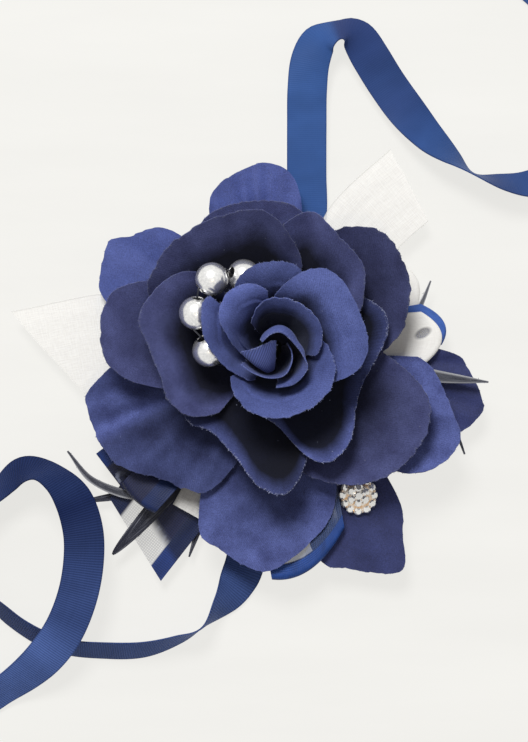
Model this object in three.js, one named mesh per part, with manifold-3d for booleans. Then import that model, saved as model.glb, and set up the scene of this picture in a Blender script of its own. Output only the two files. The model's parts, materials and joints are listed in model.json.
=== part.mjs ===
// Wrist corsage lying on its back: a fabric rose with leaves, quills and organza bows on a felt pad,
// tied on with a ribbon. Millimetres, +Z up, the pad's underside on z = 0, the rose's axis on Z.
import * as THREE from 'three';
import { mergeVertices } from 'three/addons/utils/BufferGeometryUtils.js';
import Module from 'manifold-3d';

const wasm = await Module();
wasm.setup();

// Clearances
const SEAT_GAP = 0.3;
const LAYER_GAP = 0.3;
const PEARL_CLEARANCE = 0.9;

// Pad, hub and ribbon
const PAD_RADIUS = 22;
const PAD_THICKNESS = 1.2;
const RIBBON_WIDTH = 10;
const RIBBON_THICKNESS = 0.4;
const HUB_RADIUS = 9.5;

// Rose, leaves and bows: every sheet lies on a numbered layer, counted from the bud outwards
const PETAL_THICKNESS = 0.4;
const ORGANZA_THICKNESS = 0.3;
const QUILL_THICKNESS = 0.5;
const LAYER_PITCH = PETAL_THICKNESS + LAYER_GAP;
const LEAF_LAYER = 21;
const CLUSTER_LEAF_LAYER = 20.8;
const LAST_LAYER = 28;
const RECEPTACLE_TIP_RADIUS = 1.2;
const HUB_HEIGHT = (LAST_LAYER - LEAF_LAYER) * LAYER_PITCH;

// Pearls and crystals
const PEARL_DIAMETER = 8;
const WIRE_DIAMETER = 0.5;
const PEARL_BORE = WIRE_DIAMETER + 2 * PEARL_CLEARANCE;
const PEARL_LAYER = 9;
const CLUSTER_DIAMETER = 10.2;
const CRYSTAL_DIAMETER = 2.2;

// Heights
const RIBBON_BOTTOM = PAD_THICKNESS + SEAT_GAP;
const FLOWER_BASE = RIBBON_BOTTOM + RIBBON_THICKNESS + SEAT_GAP;
const RECEPTACLE_BASE = HUB_HEIGHT + SEAT_GAP;

const NAVY_INNER = { color: 0x414f93, roughness: 0.85, metalness: 0 };
const NAVY_MIDDLE = { color: 0x2b2f58, roughness: 0.88, metalness: 0 };
const NAVY_OUTER = { color: 0x3a437c, roughness: 0.82, metalness: 0 };
const NAVY_LEAF = { color: 0x2c3470, roughness: 0.75, metalness: 0 };
const NAVY_ORGANZA = { color: 0x1f3a7a, roughness: 0.45, metalness: 0 };
const WHITE_ORGANZA = { color: 0xeceae4, roughness: 0.7, metalness: 0 };
const QUILL = { color: 0x23242f, roughness: 0.4, metalness: 0 };
const RIBBON = { color: 0x2d4880, roughness: 0.5, metalness: 0 };
const FELT = { color: 0x1d2140, roughness: 0.95, metalness: 0 };
const GLUE = { color: 0xd8d4c4, roughness: 0.5, metalness: 0 };
const PLASTIC = { color: 0x2a3a2e, roughness: 0.6, metalness: 0 };
const PEARL = { color: 0xb9bcc4, roughness: 0.2, metalness: 0.3 };
const WIRE = { color: 0xb4b4b4, roughness: 0.3, metalness: 1 };
const CRYSTAL = { color: 0xe8e6e0, roughness: 0.1, metalness: 0.4 };

const group = new THREE.Group();
group.name = 'wrist_corsage';
const flower = new THREE.Group();
flower.position.z = FLOWER_BASE;
group.add(flower);

function addPart(parent, name, geometry, look) {
  const mesh = new THREE.Mesh(geometry, new THREE.MeshStandardMaterial(look));
  mesh.name = name;
  parent.add(mesh);
  return mesh;
}

function mix(a, b, share) {
  return a + (b - a) * share;
}

function smooth(share) {
  const s = Math.min(1, Math.max(0, share));
  return s * s * (3 - 2 * s);
}

function radians(degrees) {
  return degrees * Math.PI / 180;
}

// A closed solid from points and triangles, turned outwards
function closedSolid(points, triangles) {
  const facing = new THREE.Vector3();
  let volume = 0;
  for (const [a, b, c] of triangles) {
    facing.crossVectors(points[b], points[c]);
    volume += facing.dot(points[a]);
  }
  const order = volume < 0 ? [0, 2, 1] : [0, 1, 2];
  const geometry = new THREE.BufferGeometry();
  const values = points.flatMap((p) => [p.x, p.y, p.z]);
  geometry.setAttribute('position', new THREE.Float32BufferAttribute(values, 3));
  geometry.setIndex(triangles.flatMap((t) => order.map((k) => t[k])));
  geometry.computeVertexNormals();
  return geometry;
}

// A thin sheet: place(a, s) gives the middle surface for a from -1 to 1 across and s from 0 to 1 along
function sheetSolid(place, across, along, thickness) {
  const points = [];
  const triangles = [];
  const row = along + 1;
  const step = 1e-3;
  const sides = [1, -1];
  for (const side of sides) {
    for (let i = 0; i <= across; i += 1) {
      for (let j = 0; j <= along; j += 1) {
        const a = -1 + 2 * i / across;
        const s = j / along;
        const wide = place(Math.min(1, a + step), s).sub(place(Math.max(-1, a - step), s));
        const long = place(a, Math.min(1, s + step)).sub(place(a, Math.max(0, s - step)));
        const normal = wide.cross(long).normalize();
        points.push(place(a, s).addScaledVector(normal, side * thickness / 2));
      }
    }
  }
  const under = (across + 1) * row;
  for (let i = 0; i < across; i += 1) {
    for (let j = 0; j < along; j += 1) {
      const p = i * row + j;
      triangles.push([p, p + row, p + row + 1], [p, p + row + 1, p + 1]);
      const q = under + p;
      triangles.push([q, q + row + 1, q + row], [q, q + 1, q + row + 1]);
    }
  }
  const rim = [];
  for (let i = 0; i < across; i += 1) rim.push(i * row);
  for (let j = 0; j < along; j += 1) rim.push(across * row + j);
  for (let i = across; i > 0; i -= 1) rim.push(i * row + along);
  for (let j = along; j > 0; j -= 1) rim.push(j);
  rim.forEach((p, k) => {
    const q = rim[(k + 1) % rim.length];
    triangles.push([p, under + p, under + q], [p, under + q, q]);
  });
  return closedSolid(points, triangles);
}

// A solid skinned over rings of points, with flat ends
function loftSolid(rings) {
  const count = rings[0].length;
  const points = rings.flat();
  const triangles = [];
  for (let r = 0; r + 1 < rings.length; r += 1) {
    for (let k = 0; k < count; k += 1) {
      const p = r * count + k;
      const q = r * count + (k + 1) % count;
      triangles.push([p, q, q + count], [p, q + count, p + count]);
    }
  }
  const last = (rings.length - 1) * count;
  for (let k = 1; k + 1 < count; k += 1) {
    triangles.push([0, k + 1, k], [last, last + k, last + k + 1]);
  }
  return closedSolid(points, triangles);
}

// Petal profile of each key layer, as radius and height: shoulder, brim and tip
const FLARE = [
  { layer: 0, shoulder: [0.9, 23], brim: [1.8, 29.5], tip: [4.6, 36.5] },
  { layer: 1.2, shoulder: [2.2, 23], brim: [3.6, 32], tip: [6.6, 38] },
  { layer: 2.6, shoulder: [4.2, 23], brim: [6.2, 33], tip: [9.4, 38.5] },
  { layer: 4, shoulder: [6.0, 22], brim: [8.5, 35], tip: [13.2, 37.5] },
  { layer: 6, shoulder: [8.0, 20], brim: [11.5, 37], tip: [19, 35.5] },
  { layer: 8, shoulder: [9.5, 18], brim: [15, 38], tip: [25, 32] },
  { layer: 10.5, shoulder: [18.5, 9.5], brim: [23.5, 22.5], tip: [36.5, 32.5] },
  { layer: 14, shoulder: [21, 7.5], brim: [33, 14.5], tip: [46, 24.5] },
  { layer: 17, shoulder: [22, 6.5], brim: [38, 9], tip: [59, 12.5] },
  { layer: 21, shoulder: [24, 5], brim: [42, 6], tip: [69, 6.5] },
  { layer: 28, shoulder: [24, 0.5], brim: [42, 0.5], tip: [72, 0.5] },
];

// Where a layer leaves the receptacle, or the hub below it
const SLANT = LEAF_LAYER * LAYER_PITCH;
const CONE_RUN = HUB_RADIUS - RECEPTACLE_TIP_RADIUS;
const CONE_RISE = Math.sqrt(SLANT * SLANT - CONE_RUN * CONE_RUN);
const SHEET_SEAT = SEAT_GAP + PETAL_THICKNESS / 2;

function layerRoot(layer) {
  const share = Math.min(1, layer / LEAF_LAYER);
  const below = Math.max(0, layer - LEAF_LAYER) * LAYER_PITCH;
  const radius = RECEPTACLE_TIP_RADIUS + CONE_RUN * share + SHEET_SEAT * CONE_RISE / SLANT;
  const height = RECEPTACLE_BASE + CONE_RISE * (1 - share) + SHEET_SEAT * CONE_RUN / SLANT - below;
  return [radius, height];
}

function layerPoint(layer, t) {
  let k = 1;
  while (k < FLARE.length - 1 && FLARE[k].layer < layer) k += 1;
  const low = FLARE[k - 1];
  const high = FLARE[k];
  const share = (layer - low.layer) / (high.layer - low.layer);
  const [shoulder, brim, tip] = ['shoulder', 'brim', 'tip'].map((key) => (
    [0, 1].map((i) => mix(low[key][i], high[key][i], share))
  ));
  const root = layerRoot(layer);
  const u = 1 - t;
  return [0, 1].map((i) => (
    u ** 3 * root[i] + 3 * u * u * t * shoulder[i] + 3 * u * t * t * brim[i] + t ** 3 * tip[i]
  ));
}

// How far along its profile a layer reaches a radius
function reachOf(layer, radius) {
  let low = 0;
  let high = 1.15;
  for (let k = 0; k < 40; k += 1) {
    const t = (low + high) / 2;
    if (layerPoint(layer, t)[0] < radius) low = t;
    else high = t;
  }
  return low;
}

function layerHeight(layer, radius) {
  return layerPoint(layer, reachOf(layer, radius))[1];
}

// A smooth line through rows of numbers, read at a place counted in rows
function splineAt(rows, place) {
  const k = Math.min(rows.length - 2, Math.floor(place));
  const share = place - k;
  const row = (i) => rows[Math.min(rows.length - 1, Math.max(0, i))];
  return row(k).map((start, i) => {
    const end = row(k + 1)[i];
    const leaving = (end - row(k - 1)[i]) / 2;
    const arriving = (row(k + 2)[i] - start) / 2;
    const cubic = 2 * start - 2 * end + leaving + arriving;
    const square = 3 * end - 3 * start - 2 * leaving - arriving;
    return ((cubic * share + square) * share + leaving) * share + start;
  });
}

// Bud petals lean over the heart: for each place across, the angle in degrees, the layer at the root,
// the radius and height of the ridge, and the rim's x, y and z
const BUD_PETALS = {
  bud_heart: [
    [190, 1.5, 7.2, 32.4, -7.3, -0.8, 34.2], [209, 1.3, 6.1, 32.2, -5.2, -0.4, 35],
    [236, 1, 5.5, 31.4, -2.6, 0.6, 35.2], [259, 0.7, 5.5, 30, -0.5, 1.6, 35.1],
    [276, 0.5, 4.6, 28.5, 0.8, 1.8, 34.6],
  ],
  bud_petal_inner: [
    [-155, 2.5, 7.3, 29.5, -7.5, -3.8, 32.6], [-128, 2.4, 6.9, 29.5, -4.6, -5.8, 33],
    [-97, 2.2, 6.6, 29, -0.9, -7, 33.2], [-65, 2, 6.2, 28.5, 2.7, -6.4, 33],
    [-38, 1.8, 5.5, 28, 4.4, -3.6, 32.4], [-12, 1.7, 4.8, 27.5, 4.5, -1, 32],
    [18, 1.6, 3.9, 27, 3.5, 1.1, 31.5],
  ],
  bud_petal_outer: [
    [-80, 3.3, 7.9, 28, 0.8, -9.3, 31.6], [-54, 3.2, 8.1, 29.4, 5.2, -8.3, 33.8],
    [-30, 3, 7.9, 31, 8.1, -4.7, 35.4], [-8, 2.8, 7.5, 32.8, 6.9, -1.4, 36.4],
    [16, 2.6, 6.1, 34, 4.9, 1.2, 37.1], [45, 2.4, 5.9, 34.6, 2.9, 3.1, 37.7],
    [72, 2.2, 5.6, 34.6, 1.2, 3.7, 37.8], [105, 2, 4.4, 33.8, -0.8, 3, 37.3],
    [140, 1.9, 3.6, 32.8, -2.5, 1.4, 36.7],
  ],
};
const BUD_ACROSS = 14;
const BUD_ROWS = 7;
const BUD_WAIST = [0.62, 0.45];

function budPlace(columns) {
  return (a, s) => {
    const place = (a + 1) / 2 * (columns.length - 1);
    const [degrees, layer, ridge, ridgeHeight, ...rim] = splineAt(columns, place);
    const turn = radians(degrees);
    const spot = (radius, height) => [radius * Math.cos(turn), radius * Math.sin(turn), height];
    const [root, rootHeight] = layerRoot(layer);
    const waist = spot(mix(root, ridge, BUD_WAIST[0]), mix(rootHeight, ridgeHeight, BUD_WAIST[1]));
    const rows = [spot(root, rootHeight), waist, spot(ridge, ridgeHeight), rim];
    return new THREE.Vector3(...splineAt(rows, 3 * s));
  };
}

for (const [name, columns] of Object.entries(BUD_PETALS)) {
  addPart(flower, name, sheetSolid(budPlace(columns), BUD_ACROSS, BUD_ROWS, PETAL_THICKNESS), NAVY_INNER);
}

// Petals and leaves: clockwise and anticlockwise edge in degrees, the layer at each edge,
// and the rim's radius at even places from one edge to the other
const INNER_PETALS = [
  ['inner_petal_top', -10, 130, 4.8, 3.9, [11, 12.4, 12.2, 11.5, 8.5]],
  ['inner_petal_upper_left', 95, 192, 5.7, 4.9, [14.5, 16.8, 15.5, 10.5, 7.4]],
  ['inner_petal_right', -38, 88, 7.6, 5.4, [15, 22, 22, 22.4, 13.4]],
  ['inner_petal_bottom', 214, 372, 7.2, 5.8, [13, 16, 16.6, 16.2, 12.4]],
  ['inner_petal_left', 140, 240, 7.7, 5.8, [20.5, 17.2, 13.3, 10.6, 9.2]],
  ['inner_petal_back', 60, 126, 7.2, 7.1, [18, 20.4, 20.3, 19.4, 16.5]],
];
const MIDDLE_PETALS = [
  ['middle_petal_top_left', 70, 158, 10.2, 11.6, [23, 32.2, 34, 34.6, 34]],
  ['middle_petal_top_right', 22, 92, 10.3, 11.6, [23.5, 28.5, 31.3, 33.5, 28]],
  ['middle_petal_right', -100, 32, 10.3, 11.6, [17, 19.8, 29.8, 29, 24.6, 23.7, 26.3, 28.7, 26.5]],
  ['middle_petal_left', 130, 230, 10.2, 10.3, [24.5, 29.2, 31.4, 32.6, 29.2, 27.9, 27.8, 26.2, 21.5]],
  ['lower_petal_bottom', 212, 296, 11.5, 11.6, [27.5, 27, 25.2, 25.8, 28.6, 33.2, 35, 29.5, 22]],
  ['lower_petal_top_right', -8, 68, 12.7, 12.9, [25, 33, 37.4, 38, 31]],
  ['lower_petal_bottom_right', -80, 0, 13.9, 13.8, [31, 38, 42.5, 40.5, 28]],
  ['lower_petal_left', 148, 202, 13.4, 13.4, [34, 41, 41.5, 38.5, 28]],
  ['lower_petal_top', 64, 132, 14, 13.4, [30, 35.2, 36.3, 36.2, 32]],
];
const OUTER_PETALS = [
  ['outer_petal_left', 186, 254, 16.2, 15.6, [42.5, 47.2, 48, 48.3, 46.2, 42.1, 40.7, 38.7, 30]],
  ['outer_petal_bottom', 242, 296, 17.1, 16.9, [39.5, 49.1, 51.2, 53.8, 54.9, 51.6, 48, 44.2, 39]],
  ['outer_petal_right', -47, -3, 15.6, 15.6, [42, 46, 49.2, 51, 50.7, 46.9, 43.7, 41.1, 38.5]],
];
const LEAVES = [
  ['leaf_top', 77.5, 116, 19.6, 19.6, [37, 42.9, 45.7, 46.7, 46.1, 45, 43.9, 41.7, 38]],
  ['leaf_upper_left', 127, 165, 19.6, 19.6, [36.2, 40.9, 43.4, 45.2, 48.9, 48.1, 47.1, 46, 44.4]],
  ['leaf_right', -26, 1.5, 21.4, 21.4, [50.6, 52.3, 53.9, 55.1, 53.4, 51.5, 49.3, 46.9, 41]],
  ['leaf_lower_right', -79, -46.5, CLUSTER_LEAF_LAYER, CLUSTER_LEAF_LAYER,
    [54, 56.4, 58.1, 60.5, 63.1, 63.5, 56.5, 51.1, 41.5]],
];
const RIM_STEP = 5;
const TURN_STEP = 20;
const PETAL_ROWS = 5;
const INNER_RUFFLE = 0;
const MIDDLE_RUFFLE = 0.08;
const OUTER_RUFFLE = 0.3;
const LEAF_RUFFLE = 0.35;

// The ruffle moves the rim between neighbouring layers, in waves across the petal
function petalPlace([, from, to, layerFrom, layerTo, rim], ruffle) {
  const rimCurve = new THREE.SplineCurve(rim.map((radius, k) => new THREE.Vector2(k, radius)));
  return (a, s) => {
    const share = (a + 1) / 2;
    const wave = ruffle * s * s * Math.sin(4 * Math.PI * share + from);
    const layer = mix(layerFrom, layerTo, share) + wave;
    const reach = reachOf(layer, rimCurve.getPoint(share).y);
    const [radius, height] = layerPoint(layer, reach * s);
    const angle = radians(mix(from, to, share));
    return new THREE.Vector3(radius * Math.cos(angle), radius * Math.sin(angle), height);
  };
}

function addPetals(petals, ruffle, look) {
  for (const petal of petals) {
    const [name, from, to, , , rim] = petal;
    const rimLength = radians(to - from) * rim[Math.floor(rim.length / 2)];
    const across = Math.max(7, Math.round(rimLength / RIM_STEP), Math.round((to - from) / TURN_STEP));
    addPart(flower, name, sheetSolid(petalPlace(petal, ruffle), across, PETAL_ROWS, PETAL_THICKNESS), look);
  }
}

addPetals(INNER_PETALS, INNER_RUFFLE, NAVY_INNER);
addPetals(MIDDLE_PETALS, MIDDLE_RUFFLE, NAVY_MIDDLE);
addPetals(OUTER_PETALS, OUTER_RUFFLE, NAVY_OUTER);
addPetals(LEAVES, LEAF_RUFFLE, NAVY_LEAF);

// Organza: gathered at the hub and spread to its full width along a line in plan
const GATHERED_WIDTH = 5;

function curveThrough(points) {
  const places = points.map(([x, y, z = 0]) => new THREE.Vector3(x, y, z));
  return new THREE.CatmullRomCurve3(places, false, 'centripetal');
}

function hubPoint(degrees) {
  const [radius] = layerRoot(LEAF_LAYER);
  return [radius * Math.cos(radians(degrees)), radius * Math.sin(radians(degrees))];
}

function planPlace(curve, share, offset) {
  const centre = curve.getPointAt(share);
  const along = curve.getTangentAt(share);
  return centre.add(new THREE.Vector3(-along.y, along.x, 0).multiplyScalar(offset));
}

// Tails: the angle where each leaves the hub, its line, width, end slant and layer
const WHITE_TAILS = [
  ['white_tail_left', 176, [[-34, 3], [-63.5, -2.2]], 24, -0.13, 24],
  ['white_tail_upper_right', 50, [[23.5, 31.2], [36.4, 43]], 20, 0.05, 24],
  ['white_tail_lower', 248, [[-16, -32], [-21, -41]], 9, 0, 22.4],
];
const NAVY_TAILS = [
  ['navy_tail_lower_left', 234, [[-20, -29], [-37.2, -51.4]], 23, 0.08, 26],
];

function tailPlace([, leaves, route, width, slant, layer]) {
  const curve = curveThrough([hubPoint(leaves), ...route]);
  return (a, s) => {
    const share = s * (1 - Math.abs(slant) + slant * a);
    const spread = mix(GATHERED_WIDTH, width, smooth(share * 1.6));
    const point = planPlace(curve, share, a * spread / 2);
    point.z = layerHeight(layer, Math.hypot(point.x, point.y));
    return point;
  };
}

function addTails(tails, look) {
  for (const tail of tails) {
    addPart(flower, tail[0], sheetSolid(tailPlace(tail), 4, 8, ORGANZA_THICKNESS), look);
  }
}

addTails(WHITE_TAILS, WHITE_ORGANZA);
addTails(NAVY_TAILS, NAVY_ORGANZA);

// Loops go out on the lower layer, turn over and come back on the upper one: direction, reach, width, how
// much the turn is rounded and skewed in plan, lower and upper layer, and how far the turn stands up
const WHITE_LOOPS = [
  ['white_loop_right', 4.5, 42.5, 13, 0.11, 0, 19.9, 18.8, 0.7],
  ['white_loop_upper_right', 26, 40.8, 13, 0.08, 0, 27.2, 26, 0.8],
];
const NAVY_LOOPS = [
  ['navy_loop_lower_left', 217, 51, 11.5, 0, 0, 22.9, 21.7, 0.2],
  ['navy_loop_front', 228, 50.8, 11, 0.02, 0, 20.4, 18.9, 3],
  ['navy_loop_bottom', 280, 55.5, 20, 0.07, -0.085, 19.7, 18.5, 1],
  ['navy_loop_right', 9, 43.8, 11, 0.075, -0.04, 24.2, 22.9, 0.8],
];
const LOOP_BEND = 0.16;
const LOOP_NOSE = 1.5;

function loopPlace([, at, reach, width, round, skew, lower, upper, loft]) {
  const out = new THREE.Vector3(Math.cos(radians(at)), Math.sin(radians(at)), 0);
  const side = new THREE.Vector3(-out.y, out.x, 0);
  const [root] = layerRoot(LEAF_LAYER);
  return (a, s) => {
    const turn = Math.min(1, Math.max(0, (s - 0.5 + LOOP_BEND / 2) / LOOP_BEND));
    const leg = Math.min(1, (1 - Math.abs(2 * s - 1)) / (1 - LOOP_BEND));
    const nose = reach * (1 - round * a * a + skew * a) - LOOP_NOSE;
    const distance = mix(root, nose, leg) + LOOP_NOSE * Math.sin(Math.PI * turn);
    const spread = mix(GATHERED_WIDTH, width, smooth(leg * 1.5));
    const point = out.clone().multiplyScalar(distance).addScaledVector(side, a * spread / 2);
    const layer = mix(lower, upper, smooth(turn));
    const lift = loft * smooth(turn) * smooth((leg - 0.6) / 0.35);
    point.z = layerHeight(layer, Math.hypot(point.x, point.y)) + lift;
    return point;
  };
}

function addLoops(loops, look) {
  for (const loop of loops) {
    addPart(flower, loop[0], sheetSolid(loopPlace(loop), 4, 16, ORGANZA_THICKNESS), look);
  }
}

addLoops(WHITE_LOOPS, WHITE_ORGANZA);
addLoops(NAVY_LOOPS, NAVY_ORGANZA);

// Quills, a thin stem from the hub that widens to a pointed blade: the angle where each leaves the hub,
// its line, blade width and layer
const QUILLS = [
  ['quill_left_high', 214, [[-20, -29], [-32, -36.5], [-45, -33], [-51.5, -25.5]], 2.6, 24],
  ['quill_left_middle', 222, [[-22, -31], [-36, -36.2], [-48.6, -38.5]], 3, 27.3],
  ['quill_left_low', 228, [[-24, -33], [-31, -41.5], [-40.2, -51.6]], 5, 25],
  ['quill_left_inner', 244, [[-16, -38], [-21, -52.4]], 3, 27.3],
  ['quill_right_high', 17, [[25, 3], [34, 6], [37.4, 11.2], [40, 17.4]], 2.1, 25],
  ['quill_right_middle', -6, [[25, -4], [42, -6.8], [53.6, -8.1]], 3.6, 17.6],
  ['quill_right_low', -20, [[30, -11], [43.5, -17.5], [46.2, -22], [47.7, -26]], 1.6, 17.6],
];
const QUILL_STEM_WIDTH = 1;
const QUILL_POINT_WIDTH = 0.3;
const QUILL_TAPER = 0.5;

function quillWidth(width, s) {
  const taper = Math.max(0, (s - QUILL_TAPER) / (1 - QUILL_TAPER));
  const blade = mix(QUILL_STEM_WIDTH, width, smooth((s - 0.3) / 0.35));
  return mix(QUILL_POINT_WIDTH, blade, 1 - taper * taper);
}

function quillPlace([, leaves, route, width, layer]) {
  const curve = curveThrough([hubPoint(leaves), ...route]);
  return (a, s) => {
    const point = planPlace(curve, s, a * quillWidth(width, s) / 2);
    point.z = layerHeight(layer, Math.hypot(point.x, point.y));
    return point;
  };
}

for (const quill of QUILLS) {
  addPart(flower, quill[0], sheetSolid(quillPlace(quill), 2, 12, QUILL_THICKNESS), QUILL);
}

// Hub and receptacle
function turned(profile, segments) {
  const lathe = new THREE.LatheGeometry(profile.map(([r, z]) => new THREE.Vector2(r, z)), segments);
  return lathe.rotateX(Math.PI / 2);
}

const hubProfile = [[0, 0], [HUB_RADIUS, 0], [HUB_RADIUS, HUB_HEIGHT], [0, HUB_HEIGHT]];
addPart(flower, 'glue_hub', turned(hubProfile, 32), GLUE);
const CONE_TOP = RECEPTACLE_BASE + CONE_RISE;
const coneProfile = [
  [0, RECEPTACLE_BASE], [HUB_RADIUS, RECEPTACLE_BASE], [RECEPTACLE_TIP_RADIUS, CONE_TOP], [0, CONE_TOP],
];
addPart(flower, 'receptacle', turned(coneProfile, 32), PLASTIC);

// Pearl wire: a line through the pearls' middles, straight inside each pearl
const PEARL_GUIDE = [[102, 15], [112, 18.8], [131, 21.9], [157, 20], [192, 14.5]];
const PEARL_START = 0.17;
const PEARL_GAPS = [0.4, 1.3, 2.8];
const WIRE_SIDES = 6;

function wireSpot(degrees, radius) {
  const turn = radians(degrees);
  const height = layerHeight(PEARL_LAYER, radius);
  return new THREE.Vector3(radius * Math.cos(turn), radius * Math.sin(turn), height);
}

const guideSpots = PEARL_GUIDE.map(([degrees, radius]) => wireSpot(degrees, radius));
const pearlGuide = new THREE.CatmullRomCurve3(guideSpots);
const guideLength = pearlGuide.getLength();
const pearlShares = [PEARL_START];
for (const gap of PEARL_GAPS) {
  pearlShares.push(pearlShares[pearlShares.length - 1] + (PEARL_DIAMETER + gap) / guideLength);
}
const pearls = pearlShares.map((share) => ({
  centre: pearlGuide.getPointAt(Math.min(1, share)),
  axis: pearlGuide.getTangentAt(Math.min(1, share)),
}));

// One leg of the wire, down along the pearl layer to the receptacle
function wireLeg(degrees, topRadius) {
  const root = layerRoot(PEARL_LAYER)[0] + WIRE_DIAMETER / 2;
  return [1, 0.7, 0.4, 0.2, 0].map((share) => wireSpot(degrees, mix(root, topRadius, share)));
}

const wirePoints = [...wireLeg(98, 11.5).reverse()];
for (const { centre, axis } of pearls) {
  for (const end of [-0.52, 0, 0.52]) {
    wirePoints.push(centre.clone().addScaledVector(axis, end * PEARL_DIAMETER));
  }
}
wirePoints.push(...wireLeg(204, 11));

function tubeSolid(points, radius, sides) {
  let across = new THREE.Vector3(0, 0, 1);
  const rings = points.map((point, k) => {
    const before = points[Math.max(0, k - 1)];
    const after = points[Math.min(points.length - 1, k + 1)];
    const along = after.clone().sub(before).normalize();
    across = across.clone().addScaledVector(along, -across.dot(along)).normalize();
    const other = along.clone().cross(across);
    return Array.from({ length: sides }, (_, i) => {
      const turn = 2 * Math.PI * i / sides;
      const spot = point.clone().addScaledVector(across, radius * Math.cos(turn));
      return spot.addScaledVector(other, radius * Math.sin(turn));
    });
  });
  return loftSolid(rings);
}

addPart(flower, 'pearl_wire', tubeSolid(wirePoints, WIRE_DIAMETER / 2, WIRE_SIDES), WIRE);

// Pearls with a drilled bore
function pearlSolid() {
  const radius = PEARL_DIAMETER / 2;
  const bore = PEARL_BORE / 2;
  const open = Math.asin(bore / radius);
  const profile = [];
  for (let k = 0; k <= 8; k += 1) {
    const turn = mix(open, Math.PI - open, k / 8);
    profile.push([radius * Math.sin(turn), -radius * Math.cos(turn)]);
  }
  profile.push([...profile[0]]);
  return turned(profile, 16);
}

pearls.forEach(({ centre, axis }, k) => {
  const pearl = addPart(flower, `pearl_${k + 1}`, pearlSolid(), PEARL);
  pearl.position.copy(centre);
  pearl.quaternion.setFromUnitVectors(new THREE.Vector3(0, 0, 1), axis);
});

// Crystal cluster on the lower right leaf: a shallow metal cup with rings of crystals fused into it
const CLUSTER_AT = { degrees: -59.4, radius: 42.2, layer: CLUSTER_LEAF_LAYER };
const CLUSTER_BASE = 1.6;
const CLUSTER_DOME = 1.4;
const CRYSTAL_RINGS = [1, 6, 12];

function toManifold(geometry) {
  const bare = new THREE.BufferGeometry();
  bare.setAttribute('position', geometry.getAttribute('position'));
  bare.setIndex(geometry.getIndex());
  const merged = mergeVertices(bare, 1e-4);
  const vertProperties = new Float32Array(merged.getAttribute('position').array);
  const triVerts = new Uint32Array(merged.getIndex().array);
  return new wasm.Manifold(new wasm.Mesh({ numProp: 3, vertProperties, triVerts }));
}

function fromManifold(solid) {
  const { vertProperties, triVerts } = solid.getMesh();
  const geometry = new THREE.BufferGeometry();
  geometry.setAttribute('position', new THREE.BufferAttribute(new Float32Array(vertProperties), 3));
  geometry.setIndex(new THREE.BufferAttribute(new Uint32Array(triVerts), 1));
  geometry.computeVertexNormals();
  return geometry;
}

function clusterSolid() {
  const cup = CLUSTER_DIAMETER / 2 - CRYSTAL_DIAMETER * 0.3;
  let solid = toManifold(turned([
    [0, 0], [cup * 0.8, 0], [cup, CLUSTER_BASE * 0.5], [cup, CLUSTER_BASE],
    [cup * 0.55, CLUSTER_BASE + CLUSTER_DOME * 0.75], [0, CLUSTER_BASE + CLUSTER_DOME],
  ], 16));
  const stone = CRYSTAL_DIAMETER / 2;
  CRYSTAL_RINGS.forEach((count, ring) => {
    const radius = ring * (CLUSTER_DIAMETER - CRYSTAL_DIAMETER) / 2 / (CRYSTAL_RINGS.length - 1);
    const height = CLUSTER_BASE + CLUSTER_DOME * (1 - (radius / cup) ** 2) - stone * 0.1;
    for (let k = 0; k < count; k += 1) {
      const turn = 2 * Math.PI * (k + 0.5 * (ring % 2)) / count;
      const crystal = turned([[0, -stone * 0.6], [stone, 0], [0, stone * 0.5]], 6);
      crystal.translate(radius * Math.cos(turn), radius * Math.sin(turn), height);
      solid = solid.add(toManifold(crystal));
    }
  });
  return fromManifold(solid);
}

const cluster = addPart(flower, 'crystal_cluster', clusterSolid(), CRYSTAL);
const clusterTurn = radians(CLUSTER_AT.degrees);
cluster.position.set(
  CLUSTER_AT.radius * Math.cos(clusterTurn),
  CLUSTER_AT.radius * Math.sin(clusterTurn),
  layerHeight(CLUSTER_AT.layer, CLUSTER_AT.radius) + PETAL_THICKNESS / 2 + SEAT_GAP,
);

// Felt pad
const PAD_ROUND = 0.4;
addPart(group, 'felt_pad', turned([
  [0, 0], [PAD_RADIUS - PAD_ROUND, 0], [PAD_RADIUS, PAD_ROUND], [PAD_RADIUS, PAD_THICKNESS - PAD_ROUND],
  [PAD_RADIUS - PAD_ROUND, PAD_THICKNESS], [0, PAD_THICKNESS],
], 48), FELT);

// Tie ribbon: places of its middle line with its roll in degrees, flat at 0 and on edge at 90; the right tail
// turns back round a soft cone with its outer edge on the table
const RIBBON_MIDDLE = RIBBON_BOTTOM + RIBBON_THICKNESS / 2;
const RIBBON_LEFT_EXIT = [-1.6, -24];
const RIBBON_RIGHT_EXIT = [6.8, 24];
const RIGHT_TAIL = [
  [6.9, 24.3, RIBBON_MIDDLE, 0], [8.9, 34.5, RIBBON_MIDDLE, 0], [8.8, 44.5, 2.2, 0], [8.8, 56, 3, 0],
  [8.9, 66, 3.8, 0], [9.7, 73.2, 4.4, 8], [11.7, 77.9, 4.6, 24], [14.4, 80, 4.8, 46], [17.2, 80.9, 4.9, 52],
  [19.5, 80.7, 4.9, 40], [21.7, 79, 4.6, 22], [25, 73.9, 3.7, 9], [29, 67.6, 3, 7], [34.2, 60.4, 3, 12],
  [40.2, 53.4, 3.9, 32], [45.4, 48.7, 4.9, 57], [51, 44.3, 5.6, 80], [58.5, 42.3, 5.2, 62],
  [64.8, 41.9, 4.2, 43], [72.5, 44.1, 3, 25], [78.7, 50.2, 2, 12], [81.3, 59.7, 1.4, 4], [80.4, 71.2, 1, 0],
  [76.8, 81.2, 0.8, 0], [70.8, 89.5, 0.6, 0], [64, 95.6, 0.5, 0],
];
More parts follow.
